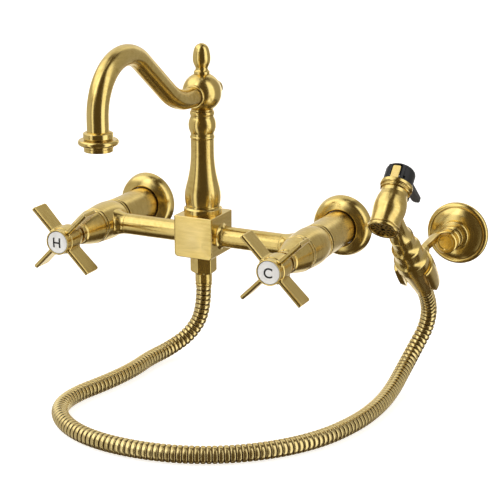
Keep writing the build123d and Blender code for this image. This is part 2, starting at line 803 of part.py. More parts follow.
def sprayer_handle():
    foot = cone_top - link_length + 0.5
    body = turned((handle_bore_r, foot), (link_r, foot), (link_r, cone_top), (cone_top_r + 0.2, cone_top),
                  (grip_r, cone_top + 1.0), (grip_r, grip_end - 1.0), (grip_r - 0.6, grip_end),
                  ((12.1, 61.0), (grip_waist_r, 64.5)), (grip_waist_r, 66.0), (bulge_r, 67.2),
                  (bulge_r, 74.2), (bulge_r - 0.5, 75.4), ((9.7, 78.3), (handle_end_r, 82.6)),
                  (handle_end_r, handle_end), (neck_thread_r, handle_end),
                  (neck_thread_r, handle_end + neck_thread_length),
                  (handle_bore_r, handle_end + neck_thread_length))
    return body


def sprayer_head():
    neck_up = handle_end + seat
    collar_end = neck_up + neck_collar_t
    neck = turned((0, neck_up), (neck_collar_r - 0.5, neck_up), (neck_collar_r, neck_up + 0.5),
                  (neck_collar_r, collar_end - 0.5), (neck_collar_r - 0.5, collar_end),
                  ((neck_r + 0.9, collar_end + 4), (neck_r, collar_end + 10)), (neck_r, head_up - 5),
                  (0, head_up - 5))
    barrel = turned((0, barrel_front), (barrel_front_r, barrel_front),
                    [(12.0, -8), (barrel_r, 0.5), (12.1, 8)], (barrel_back_r, 12.6),
                    (barrel_back_r, barrel_back), (0, barrel_back))
    head = placed(handle_frame, neck) + placed(barrel_frame, barrel)
    bore = rod(neck_thread_r + seat, neck_up, neck_up + neck_thread_length + 0.5)
    bore += rod(handle_bore_r, neck_up, head_up - valve_room_r + 1)
    head -= placed(handle_frame, bore)
    web_top = valve_seat + valve_web_t
    room = rod(valve_room_r, web_top, barrel_back) + rod(valve_seat_r, valve_seat, web_top)
    room += rod(ring_bore_r - 0.7, face_back + 2.6, valve_seat)
    room += rod(ring_bore_r + 1.0 + seat, barrel_front, face_back + 2.6)
    return head - placed(barrel_frame, room)


def face_ring():
    spigot = ring_bore_r + 1.0
    back = barrel_front - seat
    return turned((ring_bore_r, ring_front), (ring_r - 0.8, ring_front), (ring_r, ring_front + 0.8),
                  (ring_r, back - 0.5), (ring_r - 0.5, back), (spigot, back), (spigot, face_back + 2.4),
                  (ring_bore_r, face_back + 2.4))


def spray_face():
    face = turned((0, face_front), (ring_bore_r - 0.9, face_front), (ring_bore_r - seat, face_front + 0.7),
                  (ring_bore_r - seat, face_back), (0, face_back))
    for ring, count in ((4.6, 8), (7.7, 14)):
        for k in range(count):
            slot = Pos(ring, 0, face_front) * Box(1.6, 0.8, 2.4)
            face -= Rot(0, 0, 360 * k / count) * slot
    face -= Pos(0, 0, face_front) * Sphere(1.9)
    return face - [Rot(0, 0, 120 * k) * Pos(2.4, 0, 0) * rod(0.5, face_front, face_back) for k in range(3)]


def sprayer_collar():
    """Threaded ring that closes the valve room, with the tongue that carries the lever."""
    back = barrel_back + seat
    spigot_r = valve_room_r - seat
    hole = plunger_r + bearing
    recess_r = lever_cap_r + running
    ring = turned((hole, 9.0), (spigot_r, 9.0), (spigot_r, back), (barrel_back_r + 0.6, back),
                  (collar_r, back + 1.2), (collar_r, collar_top - 0.5), (collar_r - 0.3, collar_top),
                  (recess_r, collar_top), (recess_r, collar_recess), (hole, collar_recess))
    tongue = Pos(0, -lever_pivot_h, collar_recess) * Box(tongue_w, tongue_t, tongue_top - collar_recess,
                                                         align=(Align.CENTER, Align.CENTER, Align.MIN))
    tongue = fillet(tongue.edges().filter_by(Axis.Y).sort_by(Axis.Z)[-2:], 1.4)
    tongue -= Pos(0, -lever_pivot_h, lever_pivot_b) * Rot(0, 90, 0) * Cylinder(lever_pin_r + 0.02,
                                                                               2 * tongue_w)
    return ring + tongue


def lever_pin():
    return Pos(0, -lever_pivot_h, lever_pivot_b) * Rot(0, 90, 0) * Cylinder(lever_pin_r, 12.6)


def sprayer_lever():
    """Black cap over the collar with a thumb lever that runs back along the handle."""
    skirt = collar_top + running
    inner = lever_cap_r - lever_cap_wall
    roof = lever_top - 3.2
    cap = turned((0, skirt), (lever_cap_r, skirt), (lever_cap_r, lever_top - 4.5),
                 ((lever_cap_r - 1.3, lever_top - 1.3), (lever_cap_r - 4.5, lever_top)), (0, lever_top))
    cap -= rod(inner, skirt, roof)
    length = lever_tail
    tail = Pos(0, 0, lever_top - lever_tail_t) * extrude(make_face(Polyline(
        (-lever_tail_w / 2, 0), (-3.4, length - 2.5), (-1.6, length), (1.6, length), (3.4, length - 2.5),
        (lever_tail_w / 2, 0), close=True)), lever_tail_t)
    tail = fillet(tail.faces().sort_by(Axis.Z)[-1].edges().filter_by(GeomType.LINE), 1.2)
    lean = Pos(0, lever_lean_start, lever_top) * Rot(lever_tail_lean, 0, 0)
    tail = lean * Pos(0, -lever_lean_start, -lever_top) * tail
    tail -= rod(inner, 0, roof)
    peg_y = 29.0
    peg_top = lever_top - lever_tail_t / 2 + (peg_y - lever_lean_start) * sin(radians(lever_tail_lean))
    peg = Pos(0, peg_y, 0) * turned((0, 25), (1.0, 25), (1.8, 25.8), (1.8, peg_top), (0, peg_top))
    cheeks = [Pos(side * (tongue_w / 2 + running + 1.4), -lever_pivot_h + 0.4, lever_pivot_b - 2)
              * Box(2.8, 3.4, roof - lever_pivot_b + 2.5, align=(Align.CENTER, Align.CENTER, Align.MIN))
              for side in (-1, 1)]
    boss = rod(3.2, lever_boss_bottom, roof + 0.5)
    lever = cap + tail + peg + cheeks + boss
    slot = Pos(0, -lever_pivot_h, skirt - 1) * Box(tongue_w + 2 * running, 3 * tongue_t,
                                                   tongue_top - skirt + 2,
                                                   align=(Align.CENTER, Align.CENTER, Align.MIN))
    lever -= slot - rod(inner - 4, skirt - 1, tongue_top + 1)
    return lever - Pos(0, -lever_pivot_h, lever_pivot_b) * Rot(0, 90, 0) * Cylinder(lever_pin_r + bearing, 40)


def valve_plunger():
    top = lever_boss_bottom - running
    poppet_top = valve_seat - bearing
    return turned((0, poppet_top - poppet_t), (poppet_r - 0.5, poppet_top - poppet_t),
                  (poppet_r, poppet_top - 1.5), (poppet_r, poppet_top), (plunger_r, poppet_top),
                  (plunger_r, top - 1), dome(plunger_r, top - 1, top))


def valve_spring():
    end = valve_seat - bearing - poppet_t
    return spring(4.4, 0.45, face_back + 2.6, end - 0.45, 2.5)


# Sprayer bracket on the wall

def bracket_wall_plate():
    plate = rod(plate_r, 0, plate_t) + rod(plate_boss_r, plate_t, plate_boss_top)
    plate -= rod(post_stud_r + seat, 0, plate_boss_top)
    holes = [Pos(0, side * plate_screw_pitch / 2, 0) * rod(plate_screw_r + seat, 0,
                                                           plate_t) for side in (-1, 1)]
    return plate - holes


def bracket_screws():
    top = plate_t + plate_screw_head_t
    screw = turned((0, -plate_screw_length), (plate_screw_r, 3 - plate_screw_length), (plate_screw_r, 0),
                   (plate_screw_neck_r, 0), (plate_screw_neck_r, plate_t), (plate_screw_head_r, plate_t),
                   (plate_screw_head_r, top - 1), dome(plate_screw_head_r, top - 1, top))
    screw -= Pos(0, 0, top) * Box(5, 0.9, 2)
    screw -= Pos(0, 0, top) * Box(0.9, 5, 2)
    return Compound(children=[Pos(0, side * plate_screw_pitch / 2, 0) * screw for side in (-1, 1)])


def bracket_rosette():
    """Stepped wall rosette: a rolled rim, a step and a shallow cone up to the post."""
    hole = plate_boss_r + seat
    inner = rosette_r - rosette_wall
    return turned((inner, 0), (rosette_r, 0), (rosette_r, 1.4), ((26.4, 3.6), (24.2, 4.4)), (23.4, 3.9),
                  (22.6, 4.2), [(18.6, 6.8), (13.4, rosette_top)], (hole, rosette_top),
                  (hole, rosette_top - 1.6), (13.0, rosette_top - 1.6), [(18.0, 5.2), (22.4, 2.6)],
                  (inner, 1.8))


def bracket_post():
    base = rosette_top
    spindle_end = post_shoulder + eye_t - 2.5
    post = turned((0, 0.5), (post_stud_r, 0.5), (post_stud_r, plate_boss_top + seat),
                  (plate_boss_r - 0.2, plate_boss_top + seat), (plate_boss_r - 0.2, base),
                  (post_ring_r - 0.6, base), ((post_ring_r, base + 2.2), (post_ring_r - 0.8, base + 4.4)),
                  (9.2, base + 5.0), (8.8, base + 6.2), (post_mid_r - 0.4, base + 6.8),
                  ((post_mid_r, base + 9), (post_mid_r - 0.4, base + 11.2)), (8.7, base + 11.9),
                  (8.7, post_shoulder - 0.6), (9.2, post_shoulder), (post_spindle_r, post_shoulder),
                  (post_spindle_r, spindle_end), (0, spindle_end))
    thread_end = post_shoulder + eye_t - cap_t - cap_thread_length
    return post - rod(cap_thread_r + seat, thread_end - 0.5, spindle_end)


def cradle_cap():
    front = post_shoulder + eye_t
    thread_end = front - cap_t - cap_thread_length
    cap = turned((0, thread_end), (cap_thread_r, thread_end), (cap_thread_r, front - cap_t),
                 (cap_r, front - cap_t), (cap_r, front - 0.4), (cap_r - 0.4, front), (cap_r - 1.6, front),
                 (cap_r - 2.2, front - 0.5), (0, front - 0.5))
    return cap


def cradle_eye():
    end = post_shoulder + eye_t
    start = post_shoulder + seat
    eye = turned((post_spindle_r + seat, start), (eye_r - 0.6, start),
                 ((eye_r, start + 1.6), (eye_r - 0.5, start + 3.4)), (eye_r - 0.9, start + 4.0),
                 (eye_r - 0.4, start + 4.8), (eye_r - 0.4, end - 1.0), (eye_r - 1.2, end),
                 (cap_r + seat, end), (cap_r + seat, end - cap_t), (post_spindle_r + seat, end - cap_t))
    return placed(bracket_frame, eye)


def cradle_arm():
    """Strap from the eye's side out to the back of the cup."""
    begin = Vector(bracket_x - 6.5, -(post_shoulder + 8.0), bracket_z + 3.0)
    middle = Vector(bracket_x - 8.0, -52, bracket_z + 2.6)
    hold = handle_foot + handle_dir * 33 + barrel_dir * (cup_r - 2.2)
    path = Spline([begin, middle, hold], tangents=[(-0.35, -1, 0.1), (0, -0.8, -0.6)])
    section = Plane(origin=path @ 0, x_dir=(0, 0, 1), z_dir=path % 0)
    section *= RectangleRounded(cup_arm_w, cup_arm_t, 3.6)
    return sweep(section, path=path)


def cradle_cup():
    """Open conical cup round the sprayer's cone, slotted at the front to pass the hose."""
    rim = cone_top - running
    cup = turned((cup_bore_foot_r, cup_bottom), (cup_r - 1.9, cup_bottom), (cup_r - 1.0, cup_bottom + 1.2),
                 [(cup_r, 30), (cup_r - 0.2, rim - 1.0)], (cup_r - 0.9, rim), (cup_bore_top_r, rim))
    half = radians(cup_slot_angle / 2)
    far = 3 * cup_r
    wedge = Plane.XY * make_face(Polyline((0, 0), (-far * sin(half), -far * cos(half)), (0, -2 * far),
                                          (far * sin(half), -far * cos(half)), close=True))
    opening = Pos(0, 0, cup_bottom - 5) * extrude(wedge, rim)
    relief = Plane.YZ * make_face(Polyline((-far, cup_bottom - 2), (-4, cup_bottom - 2), (-12.5, rim - 12),
                                           (-far, rim - 12), close=True))
    cup -= opening
    return placed(handle_frame, cup - extrude(relief, far, both=True))


def sprayer_cradle():
    arm = cradle_arm()
    arm -= placed(bracket_frame, rod(post_spindle_r + seat, 0, 2 * post_shoulder))
    arm -= placed(bracket_frame, rod(cap_r + seat, post_shoulder + eye_t - cap_t, 3 * post_shoulder))
    hollow = turned((0, cup_bottom - 5), (cup_bore_foot_r, cup_bottom - 5), (cup_bore_foot_r, cup_bottom),
                    (cup_bore_top_r, cone_top - running), (cup_bore_top_r, cone_top + 9), (0, cone_top + 9))
    arm -= placed(handle_frame, hollow)
    arm -= placed(handle_frame, rod(grip_r + running, cone_top - running, cone_top + 40))
    return cradle_eye() + arm + cradle_cup()


# All pieces in place
for side, name in ((-1, "hot"), (1, "cold")):
    frame = inlet_frame(side)
    pieces[name + "_wall_flange"] = placed(frame, wall_flange())
    pieces[name + "_inlet_connector"] = placed(frame, inlet_connector())
    pieces[name + "_coupling_sleeve"] = placed(frame, coupling_sleeve())
    pieces[name + "_valve_body"] = placed(frame, valve_body(side))
    pieces[name + "_valve_bonnet"] = placed(frame, valve_bonnet())
    pieces[name + "_cartridge_housing"] = placed(frame, cartridge_housing())
    pieces[name + "_moving_disc"] = placed(frame, moving_disc())
    pieces[name + "_valve_stem"] = placed(frame, valve_stem())
    pieces[name + "_cross_handle"] = placed(frame, cross_handle())
    pieces[name + "_handle_screw"] = placed(frame, handle_screw())
    pieces[name + "_index_button"] = placed(frame, index_button())
    pieces[name + "_bridge_bar"] = placed(bar_frame(side), bridge_bar(side))
both_sides = (inlet_frame(-1), inlet_frame(1))
washers = [placed(frame, union_washer()) for frame in both_sides] + [placed(column_frame, hose_washer())]
pieces["pipe_washers"] = Compound(children=washers)
pieces["fixed_discs"] = Compound(children=[placed(frame, fixed_disc()) for frame in both_sides])
for make in (bridge_block, diverter_sleeve, diverter_spool, diverter_spring, column, spout_grub_screw,
             spout_hub, spout_o_rings, finial, spout_tube, outlet_nipple, hose_nut, hose_ferrule):
    pieces[make.__name__] = placed(column_frame, make())
plug_frame = Plane(origin=(0, -bridge_out, hub_ball_z), x_dir=(1, 0, 0), z_dir=(0, 1, 0))
pieces["rear_plug"] = placed(plug_frame, rear_plug())
for make in (spout_tip, aerator_housing, aerator_insert):
    pieces[make.__name__] = placed(column_frame, placed(tip_frame(), make()))
pieces["spray_hose"] = spray_hose()
for make in (sprayer_cone, sprayer_handle):
    pieces[make.__name__] = placed(handle_frame, make())
pieces["sprayer_head"] = sprayer_head()
for make in (face_ring, spray_face, sprayer_collar, lever_pin, sprayer_lever, valve_plunger, valve_spring):
    pieces[make.__name__] = placed(barrel_frame, make())
for make in (bracket_wall_plate, bracket_screws, bracket_rosette, bracket_post, cradle_cap):
    pieces[make.__name__] = placed(bracket_frame, make())
pieces["sprayer_cradle"] = sprayer_cradle()

for name, piece in pieces.items():
    export_step(piece, "parts/" + name + ".step")
print(len(pieces), "pieces")
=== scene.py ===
import bpy
import bmesh
import json
import numpy as np
from math import atan2, cos, pi, radians, sin, sqrt
from mathutils import Matrix


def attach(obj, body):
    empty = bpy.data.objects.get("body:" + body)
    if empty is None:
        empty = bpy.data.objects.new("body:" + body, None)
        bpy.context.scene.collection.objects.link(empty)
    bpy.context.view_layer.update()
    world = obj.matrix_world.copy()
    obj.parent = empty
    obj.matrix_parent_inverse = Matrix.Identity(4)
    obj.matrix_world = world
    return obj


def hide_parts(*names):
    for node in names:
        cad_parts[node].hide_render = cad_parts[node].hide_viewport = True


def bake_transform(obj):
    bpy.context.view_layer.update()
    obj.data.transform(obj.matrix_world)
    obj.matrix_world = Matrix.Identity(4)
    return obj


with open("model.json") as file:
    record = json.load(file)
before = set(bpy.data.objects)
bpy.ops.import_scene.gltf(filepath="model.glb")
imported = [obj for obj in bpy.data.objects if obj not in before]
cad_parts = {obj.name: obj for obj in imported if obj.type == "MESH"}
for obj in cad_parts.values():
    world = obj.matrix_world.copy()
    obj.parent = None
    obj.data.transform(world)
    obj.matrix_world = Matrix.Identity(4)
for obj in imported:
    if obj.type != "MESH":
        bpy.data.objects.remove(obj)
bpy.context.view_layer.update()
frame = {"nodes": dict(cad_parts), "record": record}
bodyOf = {node: body for body, group in frame["record"]["behaviour"]["bodies"].items() for node in group}
slotOf = {part["node"]: part["material_slot"] for part in frame["record"]["subparts"]}
print("frame:", len(frame["nodes"]), "nodes")

# All sizes below are millimetres in the frame's axes; meshes are written in metres.
mm = 0.001


# Camera at the photograph's angle

viewpoint = {
    "azimuth": 25.75,
    "elevation": 16.48,
    "target": (45.93, -80.0, -9.36),
    "distance": 1247.55,
    "focalPixels": 1418.0,      # for a frame 500 pixels wide
    "framePixels": 500,
    "sensor": 36.0,
    "clip": (0.05, 50.0),       # metres
}


def placed(name, data):
    # an object for the data, linked to the scene
    made = bpy.data.objects.new(name, data)
    bpy.context.scene.collection.objects.link(made)
    return made


def makeCamera(v):
    # columns of the placing matrix: right, up, backwards, and the place a distance back from the target
    az, el = radians(v["azimuth"]), radians(v["elevation"])
    ahead = np.array((-sin(az) * cos(el), cos(az) * cos(el), -sin(el)))
    right = np.array((cos(az), sin(az), 0.0))
    data = bpy.data.cameras.new("camera")
    data.sensor_width = v["sensor"]
    data.lens = v["sensor"] * v["focalPixels"] / v["framePixels"]
    data.clip_start, data.clip_end = v["clip"]
    camera = placed("camera", data)
    rows = np.eye(4)
    rows[:3] = np.c_[right, np.cross(right, ahead), -ahead,
                     (np.array(v["target"]) - ahead * v["distance"]) * mm]
    camera.matrix_world = Matrix(rows.tolist())
    bpy.context.scene.camera = camera


makeCamera(viewpoint)


# Surfaces: grids of points, rows by columns, turned into one mesh

def gridFaces(rows, columns, closeRows, closeColumns):
    # quad (i, j) joins rows i and i+1 and columns j and j+1, wrapping where the grid is closed
    i = np.arange(rows if closeRows else rows - 1)
    j = np.arange(columns if closeColumns else columns - 1)
    i, j = np.meshgrid(i, j, indexing="ij")
    below, beside = (i + 1) % rows, (j + 1) % columns
    return np.stack([i * columns + j, i * columns + beside, below * columns + beside,
                     below * columns + j],
                    -1).reshape(-1, 4)


def grid(points, grain=None, wear=None, closeRows=False, closeColumns=True, brushed="columns"):
    # one patch: points (rows, columns, 3) in mm, brushing coordinates, and edge marks from -1 in a
    # groove, painted there as shade, to 1 on a rubbed edge; spread is the unit slope across the brushing
    # lines, where a reflection is drawn out
    if wear is None:
        wear = np.zeros(points.shape[:2])
    if brushed == "columns":
        spread = np.gradient(points, axis=0)
    else:
        spread = np.roll(points, -1, 1) - np.roll(points, 1, 1)
    spread = spread + 1e-4
    spread = spread / np.linalg.norm(spread, axis=-1, keepdims=True)
    return {"points": points, "grain": points if grain is None else grain, "wear": wear, "spread": spread,
            "closeRows": closeRows, "closeColumns": closeColumns}


def buildMesh(name, patches):
    # all patches in one mesh with their attributes, doubles merged and faces turned outwards
    count, faces = 0, []
    for patch in patches:
        rows, columns = patch["points"].shape[:2]
        faces.append(gridFaces(rows, columns, patch["closeRows"], patch["closeColumns"]) + count)
        count += rows * columns
    points, grain, spread = (np.concatenate([patch[key].reshape(-1, 3) for patch in patches])
                             for key in ("points", "grain", "spread"))
    mesh = bpy.data.meshes.new(name)
    mesh.from_pydata((points * mm).tolist(), [], np.concatenate(faces).tolist())
    mesh.attributes.new("grain", "FLOAT_VECTOR", "POINT").data.foreach_set("vector", grain.ravel())
    mesh.attributes.new("spread", "FLOAT_VECTOR", "POINT").data.foreach_set("vector", spread.ravel())
    wear = np.concatenate([patch["wear"].reshape(-1) for patch in patches])
    mesh.attributes.new("wear", "FLOAT", "POINT").data.foreach_set("value", wear)
    shape = bmesh.new()
    shape.from_mesh(mesh)
    bmesh.ops.remove_doubles(shape, verts=shape.verts, dist=1e-7)
    bmesh.ops.recalc_face_normals(shape, faces=shape.faces)
    shape.to_mesh(mesh)
    shape.free()
    mesh.shade_smooth()
    return placed(name, mesh)


def dress(node, patches, material, rides=True):
    # one piece in the place of a node, on the node's body and with its finish
    first, *rest = node.split("_")
    piece = buildMesh(first + "".join(word.capitalize() for word in rest), patches)
    if rides:
        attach(piece, bodyOf[node])
    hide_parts(node)
    piece.data.materials.append(material)
    return piece


# Outlines: radius by height, with every corner rounded off

def smoothCurve(points, perSpan=12):
    # natural cubic through the points, by the length of the chords between them
    points = np.array(points, float)
    gap = np.linalg.norm(np.diff(points, axis=0), axis=1)
    slope = np.diff(points, axis=0) / gap[:, None]
    system, target = np.eye(len(points)), np.zeros_like(points)
    for k in range(1, len(points) - 1):
        system[k, k - 1:k + 2] = gap[k - 1], 2 * (gap[k - 1] + gap[k]), gap[k]
        target[k] = 6 * (slope[k] - slope[k - 1])
    bend = np.linalg.solve(system, target)
    share = np.arange(perSpan * len(gap) + 1) / perSpan
    span = np.minimum(share.astype(int), len(gap) - 1)
    size = gap[span][:, None]
    ahead = (share - span)[:, None] * size
    back = size - ahead
    return ((bend[span] * back ** 3 + bend[span + 1] * ahead ** 3) / (6 * size)
            + (points[span] / size - bend[span] * size / 6) * back
            + (points[span + 1] / size - bend[span + 1] * size / 6) * ahead)


def arcThrough(start, through, end, step=6.0):
    # circle through three points of the plane taken as complex numbers, followed from the first to the
    # last
    a, b, c = complex(*start), complex(*through), complex(*end)
    w = (c - a) / (b - a)
    centre = a + (b - a) * (w - abs(w) ** 2) / (2j * w.imag)
    turn = np.angle((b - centre) / (a - centre)) + np.angle((c - centre) / (b - centre))
    count = max(5, int(abs(np.degrees(turn)) / step) + 2)
    arc = centre + (a - centre) * np.exp(1j * turn * np.linspace(0, 1, count))
    return np.c_[arc.real, arc.imag]


def dome(radius, low, high):
    # middle and end of the arc of a ball's cap, from its rim up to the axis
    rise = high - low
    ball = (radius ** 2 + rise ** 2) / (2 * rise)
    half = atan2(radius, ball - rise) / 2
    return (ball * sin(half), high - ball * (1 - cos(half))), (0, high)


def outline(start, *steps, soften=0.35, closed=True, step=1e9):
    # a point is reached by a line, a pair by an arc through its first, a list by a smooth curve; each
    # corner becomes a small bend between the runs there, marked 1 where it stands out, as a rubbed edge,
    # and -1 where it sinks in, as painted shade
    runs, here = [], start
    for item in steps + ((start,) if closed else ()):
        if isinstance(item, list):
            run = smoothCurve([here] + item)
        elif isinstance(item[0], tuple):
            run = arcThrough(here, *item)
        else:
            run = np.array((here, item), float)
        here = tuple(run[-1])
        if np.linalg.norm(run[-1] - run[0]) > 1e-6:
            runs.append(run)
    reach = [np.r_[0, np.cumsum(np.linalg.norm(np.diff(run, axis=0), axis=1))] for run in runs]
    whole = np.concatenate(runs)
    area = np.sum(whole[:, 0] * np.roll(whole[:, 1], -1) - np.roll(whole[:, 0], -1) * whole[:, 1])
    trim, turns = np.zeros((len(runs), 2)), np.zeros(len(runs))
    for k in range(len(runs) if closed else len(runs) - 1):
        after = (k + 1) % len(runs)
        a, b = runs[k][-1] - runs[k][-2], runs[after][1] - runs[after][0]
        turns[k] = atan2(a[0] * b[1] - a[1] * b[0], a @ b)
        if abs(turns[k]) > 0.2:
            size = soften * np.tan(min(abs(turns[k]), 2.4) / 2)
            trim[k, 1] = trim[after, 0] = min(size, 0.4 * reach[k][-1], 0.4 * reach[after][-1])
    points, wear = [], []
    for k, run in enumerate(runs):
        low, high = trim[k, 0], reach[k][-1] - trim[k, 1]
        inside = reach[k][(reach[k] > low + 0.3) & (reach[k] < high - 0.3)]
        more = np.arange(low + step, high - 0.5 * step, step) if len(run) == 2 else []
        guard = [low + 0.3, high - 0.3] if high - low > 0.9 else []
        stations = np.unique(np.r_[low, guard, inside, more, high])
        if trim[k, 1] == 0 and (closed or k < len(runs) - 1):
            stations = stations[:-1]        # the next run starts on this point
        points.append(np.stack([np.interp(stations, reach[k], run[:, n]) for n in (0, 1)], -1))
        wear.append(np.zeros(len(stations)))
        if trim[k, 1] > 0:
            t = np.array((0.25, 0.5, 0.75))[:, None]
            after = (k + 1) % len(runs)
            end = np.array([np.interp(trim[after, 0], reach[after], runs[after][:, n]) for n in (0, 1)])
            points.append((1 - t) ** 2 * points[-1][-1] + 2 * t * (1 - t) * run[-1] + t ** 2 * end)
            wear.append(np.sign(turns[k] * area) * np.array((0.8, 1.0, 0.8)))
    return {"points": np.concatenate(points), "wear": np.concatenate(wear), "closed": closed}


def paintShadeBands(shape, *bands):
    # painted shade in a joint or groove: each band of heights, low and high, is marked -1, to be
    # darkened as shade, where the outline lies under a radius
    radius, height = shape["points"].T
    for low, high, under in bands:
        shape["wear"][(height >= low - 0.05) & (height <= high + 0.05) & (radius < under)] = -1
    return shape


def axesAt(origin, x, z):
    # a frame of unit axes with y = z cross x
    x, z = (np.array(v, float) / np.linalg.norm(v) for v in (x, z))
    return {"origin": np.array(origin, float), "x": x, "y": np.cross(z, x), "z": z}


def within(axes, *point):
    # origin + a x + b y + c z
    return axes["origin"] + point[0] * axes["x"] + point[1] * axes["y"] + point[2] * axes["z"]


def rings(shape, place, side, up, around, acrossFlats=None, saddle=None, lift=None):
    # each outline point (r, h) becomes the ring place(h) + r (cos t side + sin t up); a hexagon keeps r
    # under flat / cos(t), and a saddle moves the ring along the axis by what a round body falls away
    # under it
    turn = np.arange(around) * 2 * pi / around
    radius = np.repeat(shape["points"][:, :1], around, 1)
    if acrossFlats:
        radius = np.minimum(radius, acrossFlats / 2 / np.cos((turn + pi / 6) % (pi / 3) - pi / 6))
    x, y = radius * np.cos(turn), radius * np.sin(turn)
    points = place[:, None] + x[..., None] * side[:, None] + y[..., None] * up[:, None]
    if saddle:
        across, along = (x, y) if saddle["across"] == "x" else (y, x)
        fall = (np.sqrt(saddle["radius"] ** 2 - across ** 2) - saddle["radius"])
        fall -= saddle["crown"] * along ** 2
        away = np.clip(saddle["sign"] * (shape["points"][:, 1:] - saddle["level"]) / saddle["reach"], 0, 1)
        points += (saddle["sign"] * fall * (1 - away ** 2 * (3 - 2 * away)))[..., None] * lift
    length = np.r_[0, np.cumsum(np.linalg.norm(np.diff(shape["points"], axis=0), axis=1))]
    grain = np.stack([4 * np.cos(turn) + 0 * x, 4 * np.sin(turn) + 0 * x, length[:, None] + 0 * x], -1)
    return grid(points, grain, np.repeat(shape["wear"][:, None], around, 1), closeRows=shape["closed"])


def turned(shape, axes, around=80, acrossFlats=None, saddle=None):
    # an outline turned about the axes' z
    height = shape["points"][:, 1:]
    place = axes["origin"] + height * axes["z"]
    side, up = (np.repeat(axes[key][None], len(height), 0) for key in ("x", "y"))
    return rings(shape, place, side, up, around, acrossFlats, saddle, axes["z"])


def alongPath(points, stations):
    # places and unit tangents at distances along a polyline
    steps = np.linalg.norm(np.diff(points, axis=0), axis=1)
    reach = np.r_[0, np.cumsum(steps)]
    place = np.stack([np.interp(stations, reach, points[:, k]) for k in range(3)], -1)
    slope = np.gradient(points, reach, axis=0)
    tangent = np.stack([np.interp(stations, reach, slope[:, k]) for k in range(3)], -1)
    return place, tangent / np.linalg.norm(tangent, axis=1, keepdims=True)


def carryFrames(tangent, side):
    # the side vector is carried from station to station without twist
    sides = np.empty_like(tangent)
    for k, direction in enumerate(tangent):
        side = side - direction * (side @ direction)
        side = side / np.linalg.norm(side)
        sides[k] = side
    return sides, np.cross(tangent, sides)


def roundedBlock(b, axes):
    # a rounded oblong in x and z with its own corner radii, carried along y; towards each end it draws
    # in by a quarter round, then closes flat on a middle point
    half, mid, deep, end = b["width"] / 2, (b["low"] + b["high"]) / 2, b["depth"] / 2, b["endCorner"]
    bend = np.radians(np.linspace(0, 90, 7))
    turn = (np.r_[bend[0], bend, bend[-1]] + np.radians((-90, 0, 90, 180))[:, None]).ravel()
    # a plain point beside each corner keeps the flats flat
    slip = np.tile(np.r_[-1.0, np.zeros(7), 1.0], 4)
    radius = np.repeat((b["bottomCorner"], b["topCorner"], b["topCorner"], b["bottomCorner"]), 9)
    centre = np.c_[np.repeat((1, 1, -1, -1), 9) * (half - radius),
                   np.where(np.repeat((1, 0, 0, 1), 9), b["low"] + radius, b["high"] - radius)]
    normal = np.c_[np.cos(turn), np.sin(turn)]
    tangent = np.c_[-normal[:, 1], normal[:, 0]]
    mark = np.tile(np.r_[0, np.sin(2 * bend), 0], 4) * np.minimum(1, 1 / radius)
    t = np.radians(np.linspace(0, 90, 6))
    inset = np.r_[end, end, end * (1 - np.sin(t)), 0]
    y = np.r_[-deep, -deep, -deep + end * (1 - np.cos(t)), -deep + end + 1]
    size = np.r_[0, 0.93, np.ones(7)]
    edge = np.r_[0, 0, np.sin(2 * t), 0]
    y = np.r_[y, -y[::-1]]
    inset, size, edge = (np.r_[v, v[::-1]] for v in (inset, size, edge))
    flat = centre + (radius[:, None] - inset[:, None, None]) * normal + slip[:, None] * tangent
    flat = (0, mid) + (flat - (0, mid)) * size[:, None, None]
    points = (axes["origin"] + flat[..., :1] * axes["x"] + y[:, None, None] * axes["y"]
              + flat[..., 1:] * axes["z"])
    grain = np.stack([flat[..., 0] * 0.1, y[:, None] * 0.1 + 0 * flat[..., 0], flat[..., 1]], -1)
    return grid(points, grain, np.maximum(edge[:, None], mark))


# Finishes

def addNode(tree, kind, inputs=None, **settings):
    # a node with its settings; an input given a socket is linked, and one given a value is set
    made = tree.nodes.new(kind)
    for key, value in settings.items():
        setattr(made, key, value)
    for key, value in (inputs or {}).items():
        if isinstance(value, bpy.types.NodeSocket):
            tree.links.new(value, made.inputs[key])
        else:
            made.inputs[key].default_value = value
    return made.outputs


def maths(tree, operation, *values, **settings):
    # one arithmetic node on sockets and numbers
    return addNode(tree, "ShaderNodeMath", dict(enumerate(values)), operation=operation, **settings)[0]


def vectorMaths(tree, operation, *values, output="Vector"):
    return addNode(tree, "ShaderNodeVectorMath", dict(enumerate(values)), operation=operation)[output]


def newGroup(name, inputs, outputs):
    # an empty node group with its named inputs (label, socket kind, value) and value outputs
    group = bpy.data.node_groups.new(name, "ShaderNodeTree")
    for label, kind, value in inputs:
        socket = group.interface.new_socket(name=label, in_out="INPUT", socket_type=kind)
        if value is not None:
            socket.default_value = value
    for label in outputs:
        group.interface.new_socket(name=label, in_out="OUTPUT", socket_type="NodeSocketFloat")
    return group, group.nodes.new("NodeGroupInput").outputs, group.nodes.new("NodeGroupOutput").inputs


def useGroup(tree, group, inputs):
    return addNode(tree, "ShaderNodeGroup", inputs, node_tree=group)


